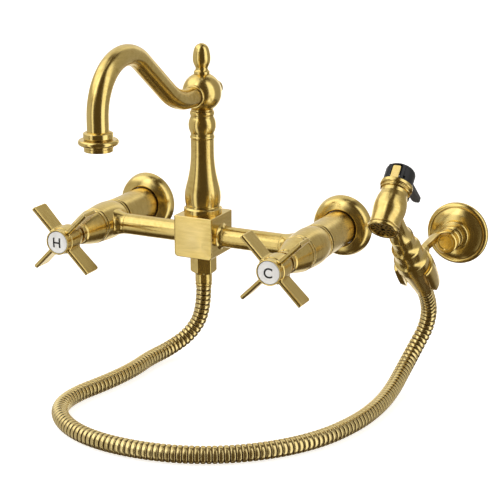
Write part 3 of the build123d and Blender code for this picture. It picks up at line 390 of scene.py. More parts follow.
def makeBrushing():
    # fine lines: noise stretched along the brushing (x, y), quick across it (z), with a slower band
    # over it
    group, given, out = newGroup("brushing",
                                 [("Vector", "NodeSocketVector", None), ("Along", "NodeSocketFloat", 1.0),
                                  ("Across", "NodeSocketFloat", 3.0)],
                                 ["Lines", "Bands"])
    stretch = addNode(group, "ShaderNodeCombineXYZ",
                      {"X": given["Along"], "Y": given["Along"], "Z": given["Across"]})
    fine = vectorMaths(group, "MULTIPLY", given["Vector"], stretch[0])
    lines = addNode(group, "ShaderNodeTexNoise",
                    {"Vector": fine, "Scale": 1.0, "Detail": 3.0, "Roughness": 0.65})
    slow = vectorMaths(group, "MULTIPLY", fine, (0.6, 0.6, 0.12))
    bands = addNode(group, "ShaderNodeTexNoise", {"Vector": slow, "Scale": 1.0, "Detail": 1.0})
    for source, socket in ((lines, "Lines"), (bands, "Bands")):
        spread = addNode(group, "ShaderNodeMapRange",
                         {"Value": source["Fac"], "From Min": 0.3, "From Max": 0.7})
        group.links.new(spread["Result"], out[socket])
    return group


def makeClouds():
    # slow uneven tone, by the size of its patches in millimetres
    group, given, out = newGroup(
        "clouds", [("Vector", "NodeSocketVector", None), ("Size", "NodeSocketFloat", 20.0)], ["Tone"])
    scale = maths(group, "DIVIDE", 1 / mm, given["Size"])
    noise = addNode(group, "ShaderNodeTexNoise", {"Vector": given["Vector"], "Scale": scale, "Detail": 2.0})
    spread = addNode(group, "ShaderNodeMapRange", {"Value": noise["Fac"], "From Min": 0.3, "From Max": 0.7})
    group.links.new(spread["Result"], out["Tone"])
    return group


def makeEdges():
    # rubbed edges where the mark is above 0, broken up by patches, and painted shade in grooves,
    # joints and inner corners where it is below 0
    group, given, out = newGroup("edges",
                                 [("Mark", "NodeSocketFloat", 0.0), ("Tone", "NodeSocketFloat", 0.5)],
                                 ["Rubbed", "Grime"])
    broken = addNode(group, "ShaderNodeMapRange",
                     {"Value": given["Tone"], "From Min": 0.2, "From Max": 0.9, "To Min": 0.25,
                      "To Max": 1.0})
    rubbed = maths(group, "MULTIPLY", given["Mark"], broken["Result"], use_clamp=True)
    grime = maths(group, "MULTIPLY", given["Mark"], -1.0, use_clamp=True)
    group.links.new(rubbed, out["Rubbed"])
    group.links.new(grime, out["Grime"])
    return group


brushing, clouds, edges = makeBrushing(), makeClouds(), makeEdges()


def newMaterial(name):
    material = bpy.data.materials.new(name)
    material.use_nodes = True
    tree = material.node_tree
    return material, tree, tree.nodes["Principled BSDF"]


def mixColour(tree, share, first, second):
    return addNode(tree, "ShaderNodeMix", {0: share, 6: first, 7: second}, data_type="RGBA")[2]


def scaled(tree, value, low, high):
    return addNode(tree, "ShaderNodeMapRange", {"Value": value, "To Min": low, "To Max": high})["Result"]


def bumped(tree, height, strength, distance):
    return addNode(tree, "ShaderNodeBump",
                   {"Height": height, "Strength": strength, "Distance": distance * mm})["Normal"]


patchSize = {"brass": 22.0, "moulded": 9.0}      # millimetres

# brass colours: random tone, rubbed edges, and the painted shade put in grooves, joints and inner corners
brass = {
    "satinBrass": {"light": (0.86, 0.665, 0.24), "deep": (0.72, 0.52, 0.155),
                   "rubbed": (0.95, 0.80, 0.45), "grime": (0.05, 0.022, 0.006), "paintedShadeShare": 0.94,
                   "smooth": 0.19, "rough": 0.26, "lines": 0.004, "drawn": 0.6},
    # the hose's brass is a paler copy of satin brass: painted highlight
    "hoseBrass": {"light": (0.90, 0.735, 0.34), "deep": (0.78, 0.60, 0.235), "rubbed": (0.95, 0.84, 0.52),
                  "grime": (0.10, 0.055, 0.02), "paintedShadeShare": 0.9, "smooth": 0.19, "rough": 0.26,
                  "lines": 0.004, "drawn": 0.6},
    "castBrass": {"light": (0.84, 0.645, 0.23), "deep": (0.70, 0.50, 0.145), "rubbed": (0.95, 0.78, 0.38),
                  "grime": (0.10, 0.06, 0.02), "paintedShadeShare": 0.7, "smooth": 0.17, "rough": 0.24,
                  "lines": 0.006},
    "plainBrass": {"light": (0.78, 0.58, 0.22), "deep": (0.56, 0.39, 0.13), "rubbed": (0.9, 0.72, 0.35),
                   "grime": (0.09, 0.05, 0.02), "paintedShadeShare": 0.7, "smooth": 0.2, "rough": 0.3,
                   "lines": 0.03},
}


def brassMaterial(name, b, followsPiece):
    # brushed metal: lines follow the piece's own brushing, or run level on a cast piece that has none
    material, tree, shader = newMaterial(name)
    place = addNode(tree, "ShaderNodeTexCoord")["Object"]
    if followsPiece:
        along = addNode(tree, "ShaderNodeAttribute", attribute_name="grain")["Vector"]
        lines = useGroup(tree, brushing, {"Vector": along, "Along": 1.0, "Across": 3.0})
        across = addNode(tree, "ShaderNodeAttribute", attribute_name="spread")["Vector"]
        across = addNode(tree, "ShaderNodeVectorTransform", {"Vector": across}, vector_type="VECTOR",
                         convert_from="OBJECT", convert_to="WORLD")["Vector"]
        tree.links.new(across, shader.inputs["Tangent"])
        shader.inputs["Anisotropic"].default_value = b["drawn"]
    else:
        lines = useGroup(tree, brushing, {"Vector": place, "Along": 250.0, "Across": 2200.0})
    tone = useGroup(tree, clouds, {"Vector": place, "Size": patchSize["brass"]})["Tone"]
    mark = addNode(tree, "ShaderNodeAttribute", attribute_name="wear")["Fac"]
    rubbedAndShaded = useGroup(tree, edges, {"Mark": mark, "Tone": tone})
    blend = maths(tree, "MULTIPLY", tone, lines["Bands"])
    colour = mixColour(tree, blend, (*b["light"], 1), (*b["deep"], 1))
    colour = mixColour(tree, scaled(tree, rubbedAndShaded["Rubbed"], 0, 0.5), colour, (*b["rubbed"], 1))
    # painted shade in grooves, joints and inner corners, where the mark is below 0
    colour = mixColour(tree, scaled(tree, rubbedAndShaded["Grime"], 0, b["paintedShadeShare"]), colour, (*b["grime"], 1))
    tree.links.new(colour, shader.inputs["Base Color"])
    tree.links.new(scaled(tree, lines["Lines"], b["smooth"], b["rough"]), shader.inputs["Roughness"])
    tree.links.new(bumped(tree, lines["Lines"], b["lines"], 0.05), shader.inputs["Normal"])
    shader.inputs["Metallic"].default_value = 1.0
    return material


plastics = {
    "blackPlastic": {"light": (0.010, 0.011, 0.013), "deep": (0.004, 0.0045, 0.0055), "smooth": 0.30,
                     "rough": 0.46, "grain": 0.45, "bump": 0.12},
    "greyPlastic": {"light": (0.10, 0.10, 0.105), "deep": (0.05, 0.05, 0.055), "smooth": 0.38,
                    "rough": 0.52, "grain": 0.5, "bump": 0.12},
    "sealRubber": {"light": (0.022, 0.022, 0.022), "deep": (0.012, 0.012, 0.012), "smooth": 0.6,
                   "rough": 0.75, "grain": 0.8, "bump": 0.2},
    "porcelain": {"light": (0.88, 0.88, 0.86), "deep": (0.80, 0.80, 0.78), "smooth": 0.10, "rough": 0.16,
                  "grain": 6.0, "bump": 0.02},
    "ceramic": {"light": (0.74, 0.73, 0.70), "deep": (0.62, 0.61, 0.58), "smooth": 0.25, "rough": 0.35,
                "grain": 0.6, "bump": 0.05},
    "letterInk": {"light": (0.015, 0.015, 0.016), "deep": (0.008, 0.008, 0.008), "smooth": 0.2,
                  "rough": 0.3, "grain": 1.0, "bump": 0.03},
}


def mouldedMaterial(name, p, coat=0.0):
    # moulded or fired surface: an uneven tone and a fine pebbled grain in colour, roughness and height
    material, tree, shader = newMaterial(name)
    place = addNode(tree, "ShaderNodeTexCoord")["Object"]
    tone = useGroup(tree, clouds, {"Vector": place, "Size": patchSize["moulded"]})["Tone"]
    pebbles = useGroup(tree, clouds, {"Vector": place, "Size": p["grain"]})["Tone"]
    tree.links.new(mixColour(tree, tone, (*p["light"], 1), (*p["deep"], 1)), shader.inputs["Base Color"])
    tree.links.new(scaled(tree, pebbles, p["smooth"], p["rough"]), shader.inputs["Roughness"])
    tree.links.new(bumped(tree, pebbles, p["bump"], 0.05), shader.inputs["Normal"])
    shader.inputs["Coat Weight"].default_value = coat
    shader.inputs["Coat Roughness"].default_value = 0.05
    return material


steelFinish = {"light": (0.62, 0.62, 0.62), "deep": (0.45, 0.45, 0.46), "rubbed": (0.8, 0.8, 0.8),
               "grime": (0.05, 0.05, 0.05), "paintedShadeShare": 0.6, "smooth": 0.28, "rough": 0.42,
               "lines": 0.1}
satinBrass = brassMaterial("satinBrass", brass["satinBrass"], True)
hoseBrass = brassMaterial("hoseBrass", brass["hoseBrass"], True)
castBrass = brassMaterial("castBrass", brass["castBrass"], False)
plainBrass = brassMaterial("plainBrass", brass["plainBrass"], False)
steel = brassMaterial("steel", steelFinish, False)
blackPlastic, greyPlastic, sealRubber, ceramic, letterInk = (
    mouldedMaterial(name, plastics[name])
    for name in ("blackPlastic", "greyPlastic", "sealRubber", "ceramic", "letterInk"))
porcelain = mouldedMaterial("porcelain", plastics["porcelain"], coat=0.6)
finishOf = {"satin_brass": castBrass, "plain_brass": plainBrass, "steel": steel,
            "black_plastic": blackPlastic, "grey_plastic": greyPlastic, "seal_rubber": sealRubber,
            "ceramic": ceramic, "porcelain": porcelain}
for name, node in frame["nodes"].items():
    node.data.materials.clear()
    node.data.materials.append(finishOf[slotOf[name]])
print("finishes:", len(finishOf))


# Hose

hose = {
    "route": [(0, -80.6, -47), (0, -80.6, -72), (-9.5, -88.5, -93), (-23, -106, -104.5), (-29, -131, -106),
              (-28, -160, -106), (-33, -195, -106), (-44, -235, -106), (-38, -266, -106), (-12, -291, -106),
              (24, -304, -106), (68, -304, -106), (110, -292, -106), (148, -265, -106), (176, -228, -106),
              (190, -186, -106), (194, -148, -106), (193, -113, -105), (191, -80, -98), (194, -59, -84),
              (201, -48, -65), (203, -50.54, -43.16), (203, -67.54, -26.16)],
    "length": 730.0,
    "radius": 7.0,
    "grooveRadius": 6.2,
    "pitch": 4.4,
    "around": 32,
    "still": (100, -150, -106),         # a point level with the middle of the hose where it lies
    "lifted": (203, -60, -40),          # a point near the hose's end under the sprayer
}


def meshOf(name, curve):
    # the shape of a curve or a text as a mesh
    holder = placed(name, curve)
    bpy.context.view_layer.update()
    mesh = bpy.data.meshes.new_from_object(holder)
    bpy.data.objects.remove(holder)
    return mesh


def splinePoints(name, route, resolution=48):
    # a NURBS line of order 3 with the route's points as its control points, read back as a fine polyline
    curve = bpy.data.curves.new(name, "CURVE")
    curve.dimensions = "3D"
    line = curve.splines.new("NURBS")
    line.points.add(len(route) - 1)
    line.points.foreach_set("co", np.c_[np.array(route, float) * mm, np.ones(len(route))].ravel())
    line.order_u = 3
    line.use_endpoint_u = True
    line.resolution_u = resolution
    mesh = meshOf(name, curve)
    points = np.empty(len(mesh.vertices) * 3)
    mesh.vertices.foreach_get("co", points)
    bpy.data.meshes.remove(mesh)
    return points.reshape(-1, 3) / mm


def ribbedHose(h):
    # ring radius by distance along the line: a narrow groove, rounded shoulders and a slightly crowned
    # crest, once a pitch; the last part rises from the place where it lies up to the sprayer
    line = splinePoints("hoseLine", h["route"])
    length = np.linalg.norm(np.diff(line, axis=0), axis=1).sum()
    ribs = round(length / h["pitch"])
    share = np.array((0.02, 0.13, 0.17, 0.24, 0.36, 0.55, 0.74, 0.86, 0.93, 0.97))
    size = np.array((0.0, 0.0, 0.55, 0.88, 0.97, 1.0, 0.97, 0.88, 0.55, 0.0))
    stations = (np.arange(ribs)[:, None] + share).ravel() * length / ribs
    crest = np.r_[0, 0, np.tile(size, ribs), 0, 0]
    radius = h["grooveRadius"] + (h["radius"] - h["grooveRadius"]) * crest
    radius[[0, -1]] = 0
    stations = np.r_[0, 0, stations, length, length]
    place, tangent = alongPath(line, stations)
    side, up = carryFrames(tangent, np.array((1.0, 0.0, 0.0)))
    # the grooves between the ribs are darkened as painted shade, fading out up each rib to the crest
    shape = {"points": np.c_[radius, stations], "wear": crest - 1, "closed": False}
    piece = dress("spray_hose", [rings(shape, place, side, up, h["around"])], hoseBrass, rides=False)
    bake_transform(piece)
    print("hose:", round(length, 1), "mm,", ribs, "ribs")


ribbedHose(hose)


def dressTurned(node, shape, axes, around=80, acrossFlats=None):
    # a piece of one turned outline in satin brass
    dress(node, [turned(shape, axes, around, acrossFlats)], satinBrass)


# Inlets and valves, hot at the left and cold at the right, heights measured out from the wall

inletPitch = 203.2
bridgeOut = 80.6
inlet = {"hot": axesAt((-inletPitch / 2, 0, 0), (1, 0, 0), (0, -1, 0)),
         "cold": axesAt((inletPitch / 2, 0, 0), (1, 0, 0), (0, -1, 0))}

flange = {"radius": 28.4, "depth": 11.8, "hole": 16.05, "opening": 17.1, "groove": 1.6, "wall": 1.6,
          "lip": 18.6}


def flangeOutline(f):
    # a quarter bulge from the wall up to the sleeve, the same inside, and a groove round the sleeve,
    # darkened as painted shade
    inner, low, floor = f["radius"] - f["wall"], f["depth"] - f["wall"], f["depth"] - f["groove"]
    bulge = [(hole + (rim - hole) * cos(pi / 4), rise * sin(pi / 4))
             for hole, rim, rise in ((f["opening"], f["radius"], f["depth"]), (f["lip"], inner, low))]
    shape = outline((inner, 0), (f["radius"], 0), [bulge[0], (f["opening"] + 0.8, f["depth"])],
                    (f["opening"], f["depth"] - 0.5), (f["opening"], floor), (f["hole"], floor),
                    (f["hole"], floor - 1.4), (f["lip"], floor - 1.4), (f["lip"], low),
                    [bulge[1], (inner, 0)])
    return paintShadeBands(shape, (floor - 2, f["depth"] - 0.6, f["opening"] + 0.4))


sleeve = {"radius": 16.0, "start": 2.0, "shoulder": 40.0, "end": 61.95, "rearBore": 11.55,
          "frontBore": 14.25, "band": 1.7, "bandRadius": 15.1}


def sleeveOutline(s):
    # the front end steps in by a narrow band beside the body, darkened as the painted shadow of the gap
    shape = outline((s["rearBore"], s["start"]), (s["radius"], s["start"]),
                    (s["radius"], s["end"] - s["band"]), (s["bandRadius"], s["end"] - s["band"] + 0.3),
                    (s["bandRadius"], s["end"]), (s["frontBore"], s["end"]),
                    (s["frontBore"], s["shoulder"]), (s["rearBore"], s["shoulder"]), soften=0.4)
    return paintShadeBands(shape, (s["end"] - s["band"], s["end"], s["radius"] - 0.3))


valveBody = {"stub": 45.5, "stubRadius": 14.2, "start": 62.0, "radius": 17.0, "end": 103.5,
             "endRadius": 15.8, "bore": 7.5, "chamber": 12.0, "chamberStart": 76.0}
boss = {"foot": 12.8, "waist": (10.5, 19.4), "radius": 9.5, "start": 14.0, "end": 24.0, "spigot": 8.25,
        "bore": 6.0}


def bodyOutline(v):
    # stub, back face, a barrel that swells to the radius and draws in again, bead, and the stepped bore
    shape = outline(
        (v["bore"], v["stub"]), (v["stubRadius"], v["stub"]), (v["stubRadius"], v["start"]),
        (14.0, v["start"]), (14.0, v["start"] + 1.3), (16.4, v["start"] + 1.3), (16.4, v["start"] + 2.9),
        (15.9, v["start"] + 3.4), [(v["radius"], 73), (v["radius"], 86), (15.9, 98.6)], (15.2, 99.2),
        (15.2, 99.9), (v["endRadius"], 100.4), (v["endRadius"], v["end"] - 0.5), (15.2, v["end"]),
        (v["chamber"], v["end"]), (v["chamber"], v["chamberStart"]), (v["bore"], v["chamberStart"]))
    # painted shade in the joint at the back face and in the groove by the bead
    return paintShadeBands(shape, (v["start"] - 1, v["start"] + 1.1, 15.6), (99.2, 99.9, 15.5))


def bossOutline(b, level):
    # out of the body's side: a flare that draws in to the bar's own radius, and the socket for the bar
    return outline((b["bore"], b["start"]), (b["foot"], b["start"]), (b["foot"], level),
                   (b["waist"], (b["radius"], b["end"])), (b["spigot"], b["end"]),
                   (b["spigot"], b["end"] - 6), (b["bore"], b["end"] - 6), soften=0.3)


bonnet = {"start": 91.85, "spigot": 11.95, "shoulder": 103.5, "radius": 15.4, "end": 131.0,
          "endRadius": 9.6, "stemHole": 4.3, "bore": 8.85}


def bonnetOutline(b):
    # spigot, ring, and a cone through an arc from the shoulder down to the narrow end, over a stepped
    # bore
    return outline((b["bore"], b["start"]), (b["spigot"], b["start"]), (b["spigot"], b["shoulder"]),
                   (14.8, b["shoulder"]), (14.8, b["shoulder"] + 0.6), (b["radius"], b["shoulder"] + 1.0),
                   (b["radius"], b["shoulder"] + 1.8), ((13.5, 114), (10.6, 125.5)),
                   (b["endRadius"], b["end"] - 4), (b["endRadius"], b["end"]), (b["stemHole"], b["end"]),
                   (b["stemHole"], 100), (b["bore"], 100))


bar = {"radius": 9.4, "foot": 12.3, "spigot": 8.2, "bore": 6.2, "start": 18.65, "end": 77.6, "reach": 6.0}


def barOutline(b):
    # from the block's face outwards: a flared foot and the bar, with a spigot at each end
    return outline((b["bore"], b["start"] - b["reach"]), (b["spigot"], b["start"] - b["reach"]),
                   (b["spigot"], b["start"]), (b["foot"], b["start"]),
                   ((10.2, b["start"] + 1.7), (b["radius"], b["start"] + 5)), (b["radius"], b["end"]),
                   (b["spigot"], b["end"]), (b["spigot"], b["end"] + b["reach"]),
                   (b["bore"], b["end"] + b["reach"]))


for tap, side in (("hot", -1), ("cold", 1)):
    out = inlet[tap]
    dressTurned(tap + "_wall_flange", flangeOutline(flange), out, 120)
    dressTurned(tap + "_coupling_sleeve", sleeveOutline(sleeve), out)
    towardsBlock = axesAt(within(out, 0, 0, bridgeOut), (0, -1, 0), (-side, 0, 0))
    saddle = {"across": "y", "radius": valveBody["radius"], "level": valveBody["radius"], "crown": 0.0,
              "reach": 6.0, "sign": 1}
    dress(tap + "_valve_body",
          [turned(bodyOutline(valveBody), out),
           turned(bossOutline(boss, valveBody["radius"]), towardsBlock, saddle=saddle)],
          satinBrass)
    dressTurned(tap + "_valve_bonnet", bonnetOutline(bonnet), out)
    dressTurned(tap + "_bridge_bar", barOutline(bar), axesAt((0, -bridgeOut, 0), (0, 1, 0), (side, 0, 0)))
print("valves and bars")


# Cross handles: a waisted hub with four flat arms, each with a bead along its front edge

hub = {"start": 134.2, "footRadius": 9.6, "radius": 11.9, "front": 161.2, "frontRadius": 11.2,
       "ringBack": 154.6, "socket": 4.05, "socketEnd": 146.0, "seat": 158.6, "seatRadius": 10.11}
arm = {"root": 8.0, "length": 37.8, "web": 3.4, "bead": 4.0, "front": 158.0, "beadBack": 156.4,
       "groove": 1.0, "backTip": 138.6, "backRoot": 140.0, "rootRound": 1.3, "tipRound": 0.7,
       "tipChamfer": 1.5}


def hubOutline(h):
    # a foot that flares by an arc to the hub, the front ring, the button's seat and the stem's socket
    return outline((h["socket"], h["start"]), (h["footRadius"], h["start"]),
                   (h["footRadius"], h["start"] + 0.4), ((9.9, h["start"] + 3.4), (h["radius"], 141.5)),
                   (h["radius"], h["ringBack"]), (h["frontRadius"], h["ringBack"] + 0.8),
                   (h["frontRadius"], h["front"]), (h["seatRadius"], h["front"]),
                   (h["seatRadius"], h["seat"]), (4.2, h["seat"]), (4.2, 150), (2.0, 150),
                   (2.0, h["socketEnd"]), (h["socket"], h["socketEnd"]))


def handleArm(a, hubRadius, axes, degrees):
    # the arm's section (half width w, height b) carried outwards along r: it swells by rootRound -
    # sqrt(rootRound^2 - (rootRound - s)^2) near the hub, draws in by a quarter round at the tip, and
    # its back edge follows its slope
    web, bead, under = a["web"] / 2, a["bead"] / 2, a["beadBack"] - a["groove"]
    round1, round2 = (0.71 * bead, a["front"] - 0.29 * bead), (0, a["front"])
    section = outline((-web, a["backTip"]), (-web, under + 0.3), (0.2 - bead, under),
                      (-bead, a["beadBack"]), (-round1[0], round1[1]), round2, round1,
                      (bead, a["beadBack"]), (bead - 0.2, under), (web, under + 0.3), (web, a["backTip"]),
                      soften=0.8)
    w, b = section["points"].T
    t = np.radians(np.linspace(0, 90, 6))
    tip, near = a["length"] - a["tipRound"], hubRadius - 0.15 + a["rootRound"] * np.linspace(0, 1, 6)
    r = np.r_[a["root"], a["root"], near, 14, 20, 27, 34, a["length"] - a["tipChamfer"] - 0.6, tip - 0.4,
              tip + a["tipRound"] * np.sin(t), a["length"], a["length"]]
    draw = np.r_[np.zeros(len(r) - 8), a["tipRound"] * (1 - np.cos(t)), a["tipRound"] + 0.4, a["tipRound"]]
    size = np.r_[0, np.ones(len(r) - 2), 0]
    swell = a["rootRound"] - np.sqrt(a["rootRound"] ** 2 - np.clip(near[-1] - r, 0, a["rootRound"]) ** 2)
    back = np.interp(r, (0, 14, a["length"] - a["tipChamfer"], a["length"]),
                     (a["backRoot"], a["backRoot"], a["backTip"], a["backTip"] + a["tipChamfer"]))
    lift = (back - a["backTip"])[:, None] * np.clip((under - b) / (under - a["backTip"]), 0, 1)
    middle = (a["backTip"] + a["front"]) / 2
    inset = (swell - draw)[:, None]
    wide = (w * (1 + inset / web)) * size[:, None]
    high = middle + (b + lift - middle + np.sign(b - middle) * np.minimum(inset, 0)) * size[:, None]
    turn = radians(degrees)
    outwards = cos(turn) * axes["x"] + sin(turn) * axes["y"]
    sideways = cos(turn) * axes["y"] - sin(turn) * axes["x"]
    points = (axes["origin"] + r[:, None, None] * outwards + wide[..., None] * sideways
              + high[..., None] * axes["z"])
    grain = np.stack([r[:, None] * 0.12 + 0 * wide, 0 * wide, w * 0.7 + b + 0 * wide], -1)
    edge = np.r_[np.zeros(len(r) - 8), np.sin(2 * t), 0, 0]
    # the section's inner corners are darkened as painted shade; the rounded tip is a rubbed edge
    return grid(points, grain, np.clip(section["wear"] * (size[:, None] > 0) + edge[:, None], -1, 1),
                brushed="rows")


button = {"radius": 9.75, "back": 158.6, "rim": 160.9, "front": 162.2}
letters = {"hot": "H", "cold": "C"}
lettering = {"height": 8.8, "thicker": 0.018, "proud": 0.07, "deep": 0.25}


def buttonOutline(b):
    # a straight rim, closed by the cap of a ball
    return outline((0, b["back"]), (b["radius"], b["back"]), (b["radius"], b["rim"]),
                   dome(b["radius"], b["rim"], b["front"]), closed=False)


def buttonLetter(tap, axes):
    # a plain letter, cut fine and laid on the button's dome: height above the dome falls as r^2 / (2
    # ball)
    text = bpy.data.curves.new(tap + "Letter", "FONT")
    text.body, text.align_x, text.align_y = letters[tap], "CENTER", "CENTER"
    text.extrude = 0.5
    text.offset = lettering["thicker"]
    mesh = meshOf(tap + "Letter", text)
    mesh.name = tap + "Letter"
    shape = bmesh.new()
    shape.from_mesh(mesh)
    bmesh.ops.remove_doubles(shape, verts=shape.verts, dist=1e-5)
    bmesh.ops.triangulate(shape, faces=shape.faces)
    for again in range(2):
        bmesh.ops.subdivide_edges(shape, edges=shape.edges, cuts=1, use_grid_fill=True)
    bmesh.ops.recalc_face_normals(shape, faces=shape.faces)
    shape.to_mesh(mesh)
    shape.free()
    flat = np.empty(len(mesh.vertices) * 3)
    mesh.vertices.foreach_get("co", flat)
    flat = flat.reshape(-1, 3)
    low, high = flat[:, :2].min(0), flat[:, :2].max(0)
    x, y = ((flat[:, :2] - (low + high) / 2) * lettering["height"] / (high[1] - low[1])).T
    rise = button["front"] - button["rim"]
    ball = (button["radius"] ** 2 + rise ** 2) / (2 * rise)
    top = button["front"] - (x ** 2 + y ** 2) / (2 * ball)
    z = np.where(flat[:, 2] > 0, top + lettering["proud"], top - lettering["deep"])
    points = axes["origin"] + np.c_[x, y, z] @ np.array((axes["x"], axes["y"], axes["z"]))
    mesh.vertices.foreach_set("co", (points * mm).ravel())
    mesh.update()
    letter = placed(tap + "Letter", mesh)
    mesh.materials.clear()
    mesh.materials.append(letterInk)
    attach(letter, bodyOf[tap + "_index_button"])


for tap in ("hot", "cold"):
    arms = [handleArm(arm, hub["radius"], inlet[tap], 45 + 90 * quarter) for quarter in range(4)]
    dress(tap + "_cross_handle", [turned(hubOutline(hub), inlet[tap])] + arms, satinBrass)
    dress(tap + "_index_button", [turned(buttonOutline(button), inlet[tap])], porcelain)
    buttonLetter(tap, inlet[tap])
print("handles")


# Centre: block, column, swivelling hub and spout

centre = axesAt((0, -bridgeOut, 0), (1, 0, 0), (0, 0, 1))
block = {"width": 37.3, "depth": 40.0, "low": -17.7, "high": 19.9, "topCorner": 0.8, "bottomCorner": 3.5,
         "endCorner": 0.7}
dress("bridge_block", [roundedBlock(block, centre)], satinBrass)

column = {"thread": 9.0, "bore": 6.0, "foot": 11.9, "blockTop": 19.9, "socket": 8.08, "socketFloor": 91.6,
          "top": 111.2}


def columnOutline(c):
    # foot ring, bulge, a smooth waist up to the beads and the ball-shaped knop, over the spigot's socket
    return outline((c["bore"], c["foot"]), (c["thread"], c["foot"]), (c["thread"], c["blockTop"]),
                   (16.9, c["blockTop"]), (16.9, 24.4), (15.3, 25.8), (15.1, 27.2), (15.5, 28.6),
                   ((16.05, 35), (15.1, 43.3)), [(12.5, 54.2), (10.6, 68), (10.3, 84.7)], (10.3, 86.8),
                   ((10.95, 88.2), (10.3, 89.6)), (10.3, 91.8), ((12.15, 98.9), (10.3, 106)),
                   (10.3, 107.6), ((10.85, 109.4), (10.3, c["top"])), (c["socket"], c["top"]),
                   (c["socket"], c["socketFloor"]), (c["bore"], c["socketFloor"]), soften=0.4)


dressTurned("column", columnOutline(column), centre, 96)

spoutHub = {"ball": 17.3, "level": 127.4, "neck": 9.8, "spigot": 8.0, "foot": 111.5, "bottom": 92.6,
            "bore": 5.0, "flat": 16.1, "groove": 6.3}


def spoutHubOutline(h):
    # a ball cut flat on top, its neck, and the spigot with two ring grooves and the screw's groove
    top, neckUp = sqrt(h["ball"] ** 2 - h["flat"] ** 2), sqrt(h["ball"] ** 2 - h["neck"] ** 2)
    s, g = h["spigot"], h["groove"]
    return outline((0, h["level"] + h["flat"]), (top, h["level"] + h["flat"]),
                   ((h["ball"], h["level"]), (h["neck"], h["level"] - neckUp)), (h["neck"], h["foot"]),
                   (s, h["foot"]), (s, 105.3), (g, 105.3), (g, 103.5), (s, 103.5), (s, 101.2),
                   (6.8, 101.2), (6.8, 96.6), (s, 96.6), (s, 95.8), (g, 95.8), (g, 94), (s, 94),
                   (s, h["bottom"]), (h["bore"], h["bottom"]), (h["bore"], h["level"]), (0, h["level"]),
                   closed=False)


dressTurned("spout_hub", spoutHubOutline(spoutHub), centre, 96)

finial = {"thread": 4.0, "threadFoot": 136.5, "foot": 143.5, "tip": 169.9}
finialOutline = outline((0, finial["threadFoot"]), (finial["thread"], finial["threadFoot"]),
                        (finial["thread"], finial["foot"]), (7, finial["foot"]), (7, 145.8), (6.2, 146.4),
                        ((5.45, 148), (5.9, 149.9)), [(7.25, 153), (7.85, 157.4), (7.0, 163.4)],
                        (6.4, 165.1), dome(6.4, 165.1, finial["tip"]), closed=False)
dressTurned("finial", finialOutline, centre)

plug = {"radius": 6.4, "thread": 4.5, "threadFoot": 9.0, "foot": 16.0, "tip": 30.8}
plugOutline = outline(
    (0, plug["threadFoot"]), (plug["thread"], plug["threadFoot"]), (plug["thread"], plug["foot"]),
    (plug["radius"], plug["foot"]), (plug["radius"], 19), (5.7, 19.4), (5.7, 20), (plug["radius"], 20.4),
    (plug["radius"], plug["tip"] - 3), dome(plug["radius"], plug["tip"] - 3, plug["tip"]), closed=False)
dressTurned("rear_plug", plugOutline, axesAt(within(centre, 0, 0, spoutHub["level"]), (1, 0, 0), (0, 1, 0)))

spout = {"radius": 8.6, "wall": 1.5, "start": (-9.4, 125.9),
         "moves": (("run", 16.4), ("bend", 60.0, 36.4), ("run", 52.3), ("bend", -42.2, 126.4),
                   ("run", 11.6)),
         "collar": 4.61, "collarWidth": 3.0, "collarRadius": 10.3, "step": 2.4}


def spoutLine(s, spacing=0.5):
    # runs and bends in the plane x = 0: along a bend the heading turns by length / radius, and the
    # place moves by radius (sin, -cos) of the heading; out is away from the wall, up is height
    heading, here = 0.0, np.array((-s["start"][0], s["start"][1]))
    line = [here[None]]
    for kind, size, *degrees in s["moves"]:
        if kind == "run":
            t = np.linspace(0, size, int(size / spacing) + 1)[1:, None]
            line.append(here + t * (cos(heading), sin(heading)))
        else:
            turn = radians(degrees[0])
            t = heading + np.sign(size) * np.linspace(0, turn, int(abs(size) * turn / spacing) + 1)[1:]
            line.append(here + size * np.c_[np.sin(t) - sin(heading), cos(heading) - np.cos(t)])
            heading = t[-1]
        here = line[-1][-1]
    flat = np.concatenate(line)
    return np.c_[0 * flat[:, 0], -bridgeOut - flat[:, 0], flat[:, 1]]


def spoutOutline(s, length):
    # a tube's wall along its length, with a rounded collar near its start
    inner, rim, end = s["radius"] - s["wall"], s["collarRadius"] - 0.6, s["collar"] + s["collarWidth"]
    shape = outline((inner, 0), (s["radius"], 0), (s["radius"], s["collar"]), (rim, s["collar"]),
                    ((s["collarRadius"], (s["collar"] + end) / 2), (rim, end)), (s["radius"], end),
                    (s["radius"], length), (inner, length), step=s["step"])
    # painted shade in the joint at the foot of the collar
    return paintShadeBands(shape, (s["collar"] - 0.5, s["collar"] + 0.4, s["collarRadius"]))


spoutPoints = spoutLine(spout)
spoutLength = np.linalg.norm(np.diff(spoutPoints, axis=0), axis=1).sum()
spoutShape = spoutOutline(spout, spoutLength)
place, tangent = alongPath(spoutPoints, spoutShape["points"][:, 1])
side = np.repeat([[1.0, 0, 0]], len(place), 0)
dress("spout_tube", [rings(spoutShape, place, side, np.cross(tangent, side), 72)], satinBrass)

tipAxes = axesAt(spoutPoints[-1], (1, 0, 0), (0, 0, -1))
tip = {"grip": 8.65, "ring": 11.6, "flange": 15.8, "flangeTop": 4.5, "flangeBottom": 8.7, "end": 11.0,
       "thread": 10.55, "threadTop": 6.0, "bore": 7.1}
tipOutline = outline((tip["grip"], -1.5), (9.7, -1.5), (tip["ring"], -0.5), (tip["ring"], 3.4), (10.8, 4),
                     (10.8, tip["flangeTop"]), (tip["flange"] - 1.3, tip["flangeTop"]),
                     ((tip["flange"], 6.6), (tip["flange"] - 1.3, tip["flangeBottom"])), (11.9, 8.9),
                     (11.6, tip["end"]), (tip["thread"], tip["end"]), (tip["thread"], tip["threadTop"]),
                     (tip["bore"], tip["threadTop"]), (tip["bore"], 0), (tip["grip"], 0), soften=0.5)
dressTurned("spout_tip", tipOutline, tipAxes)

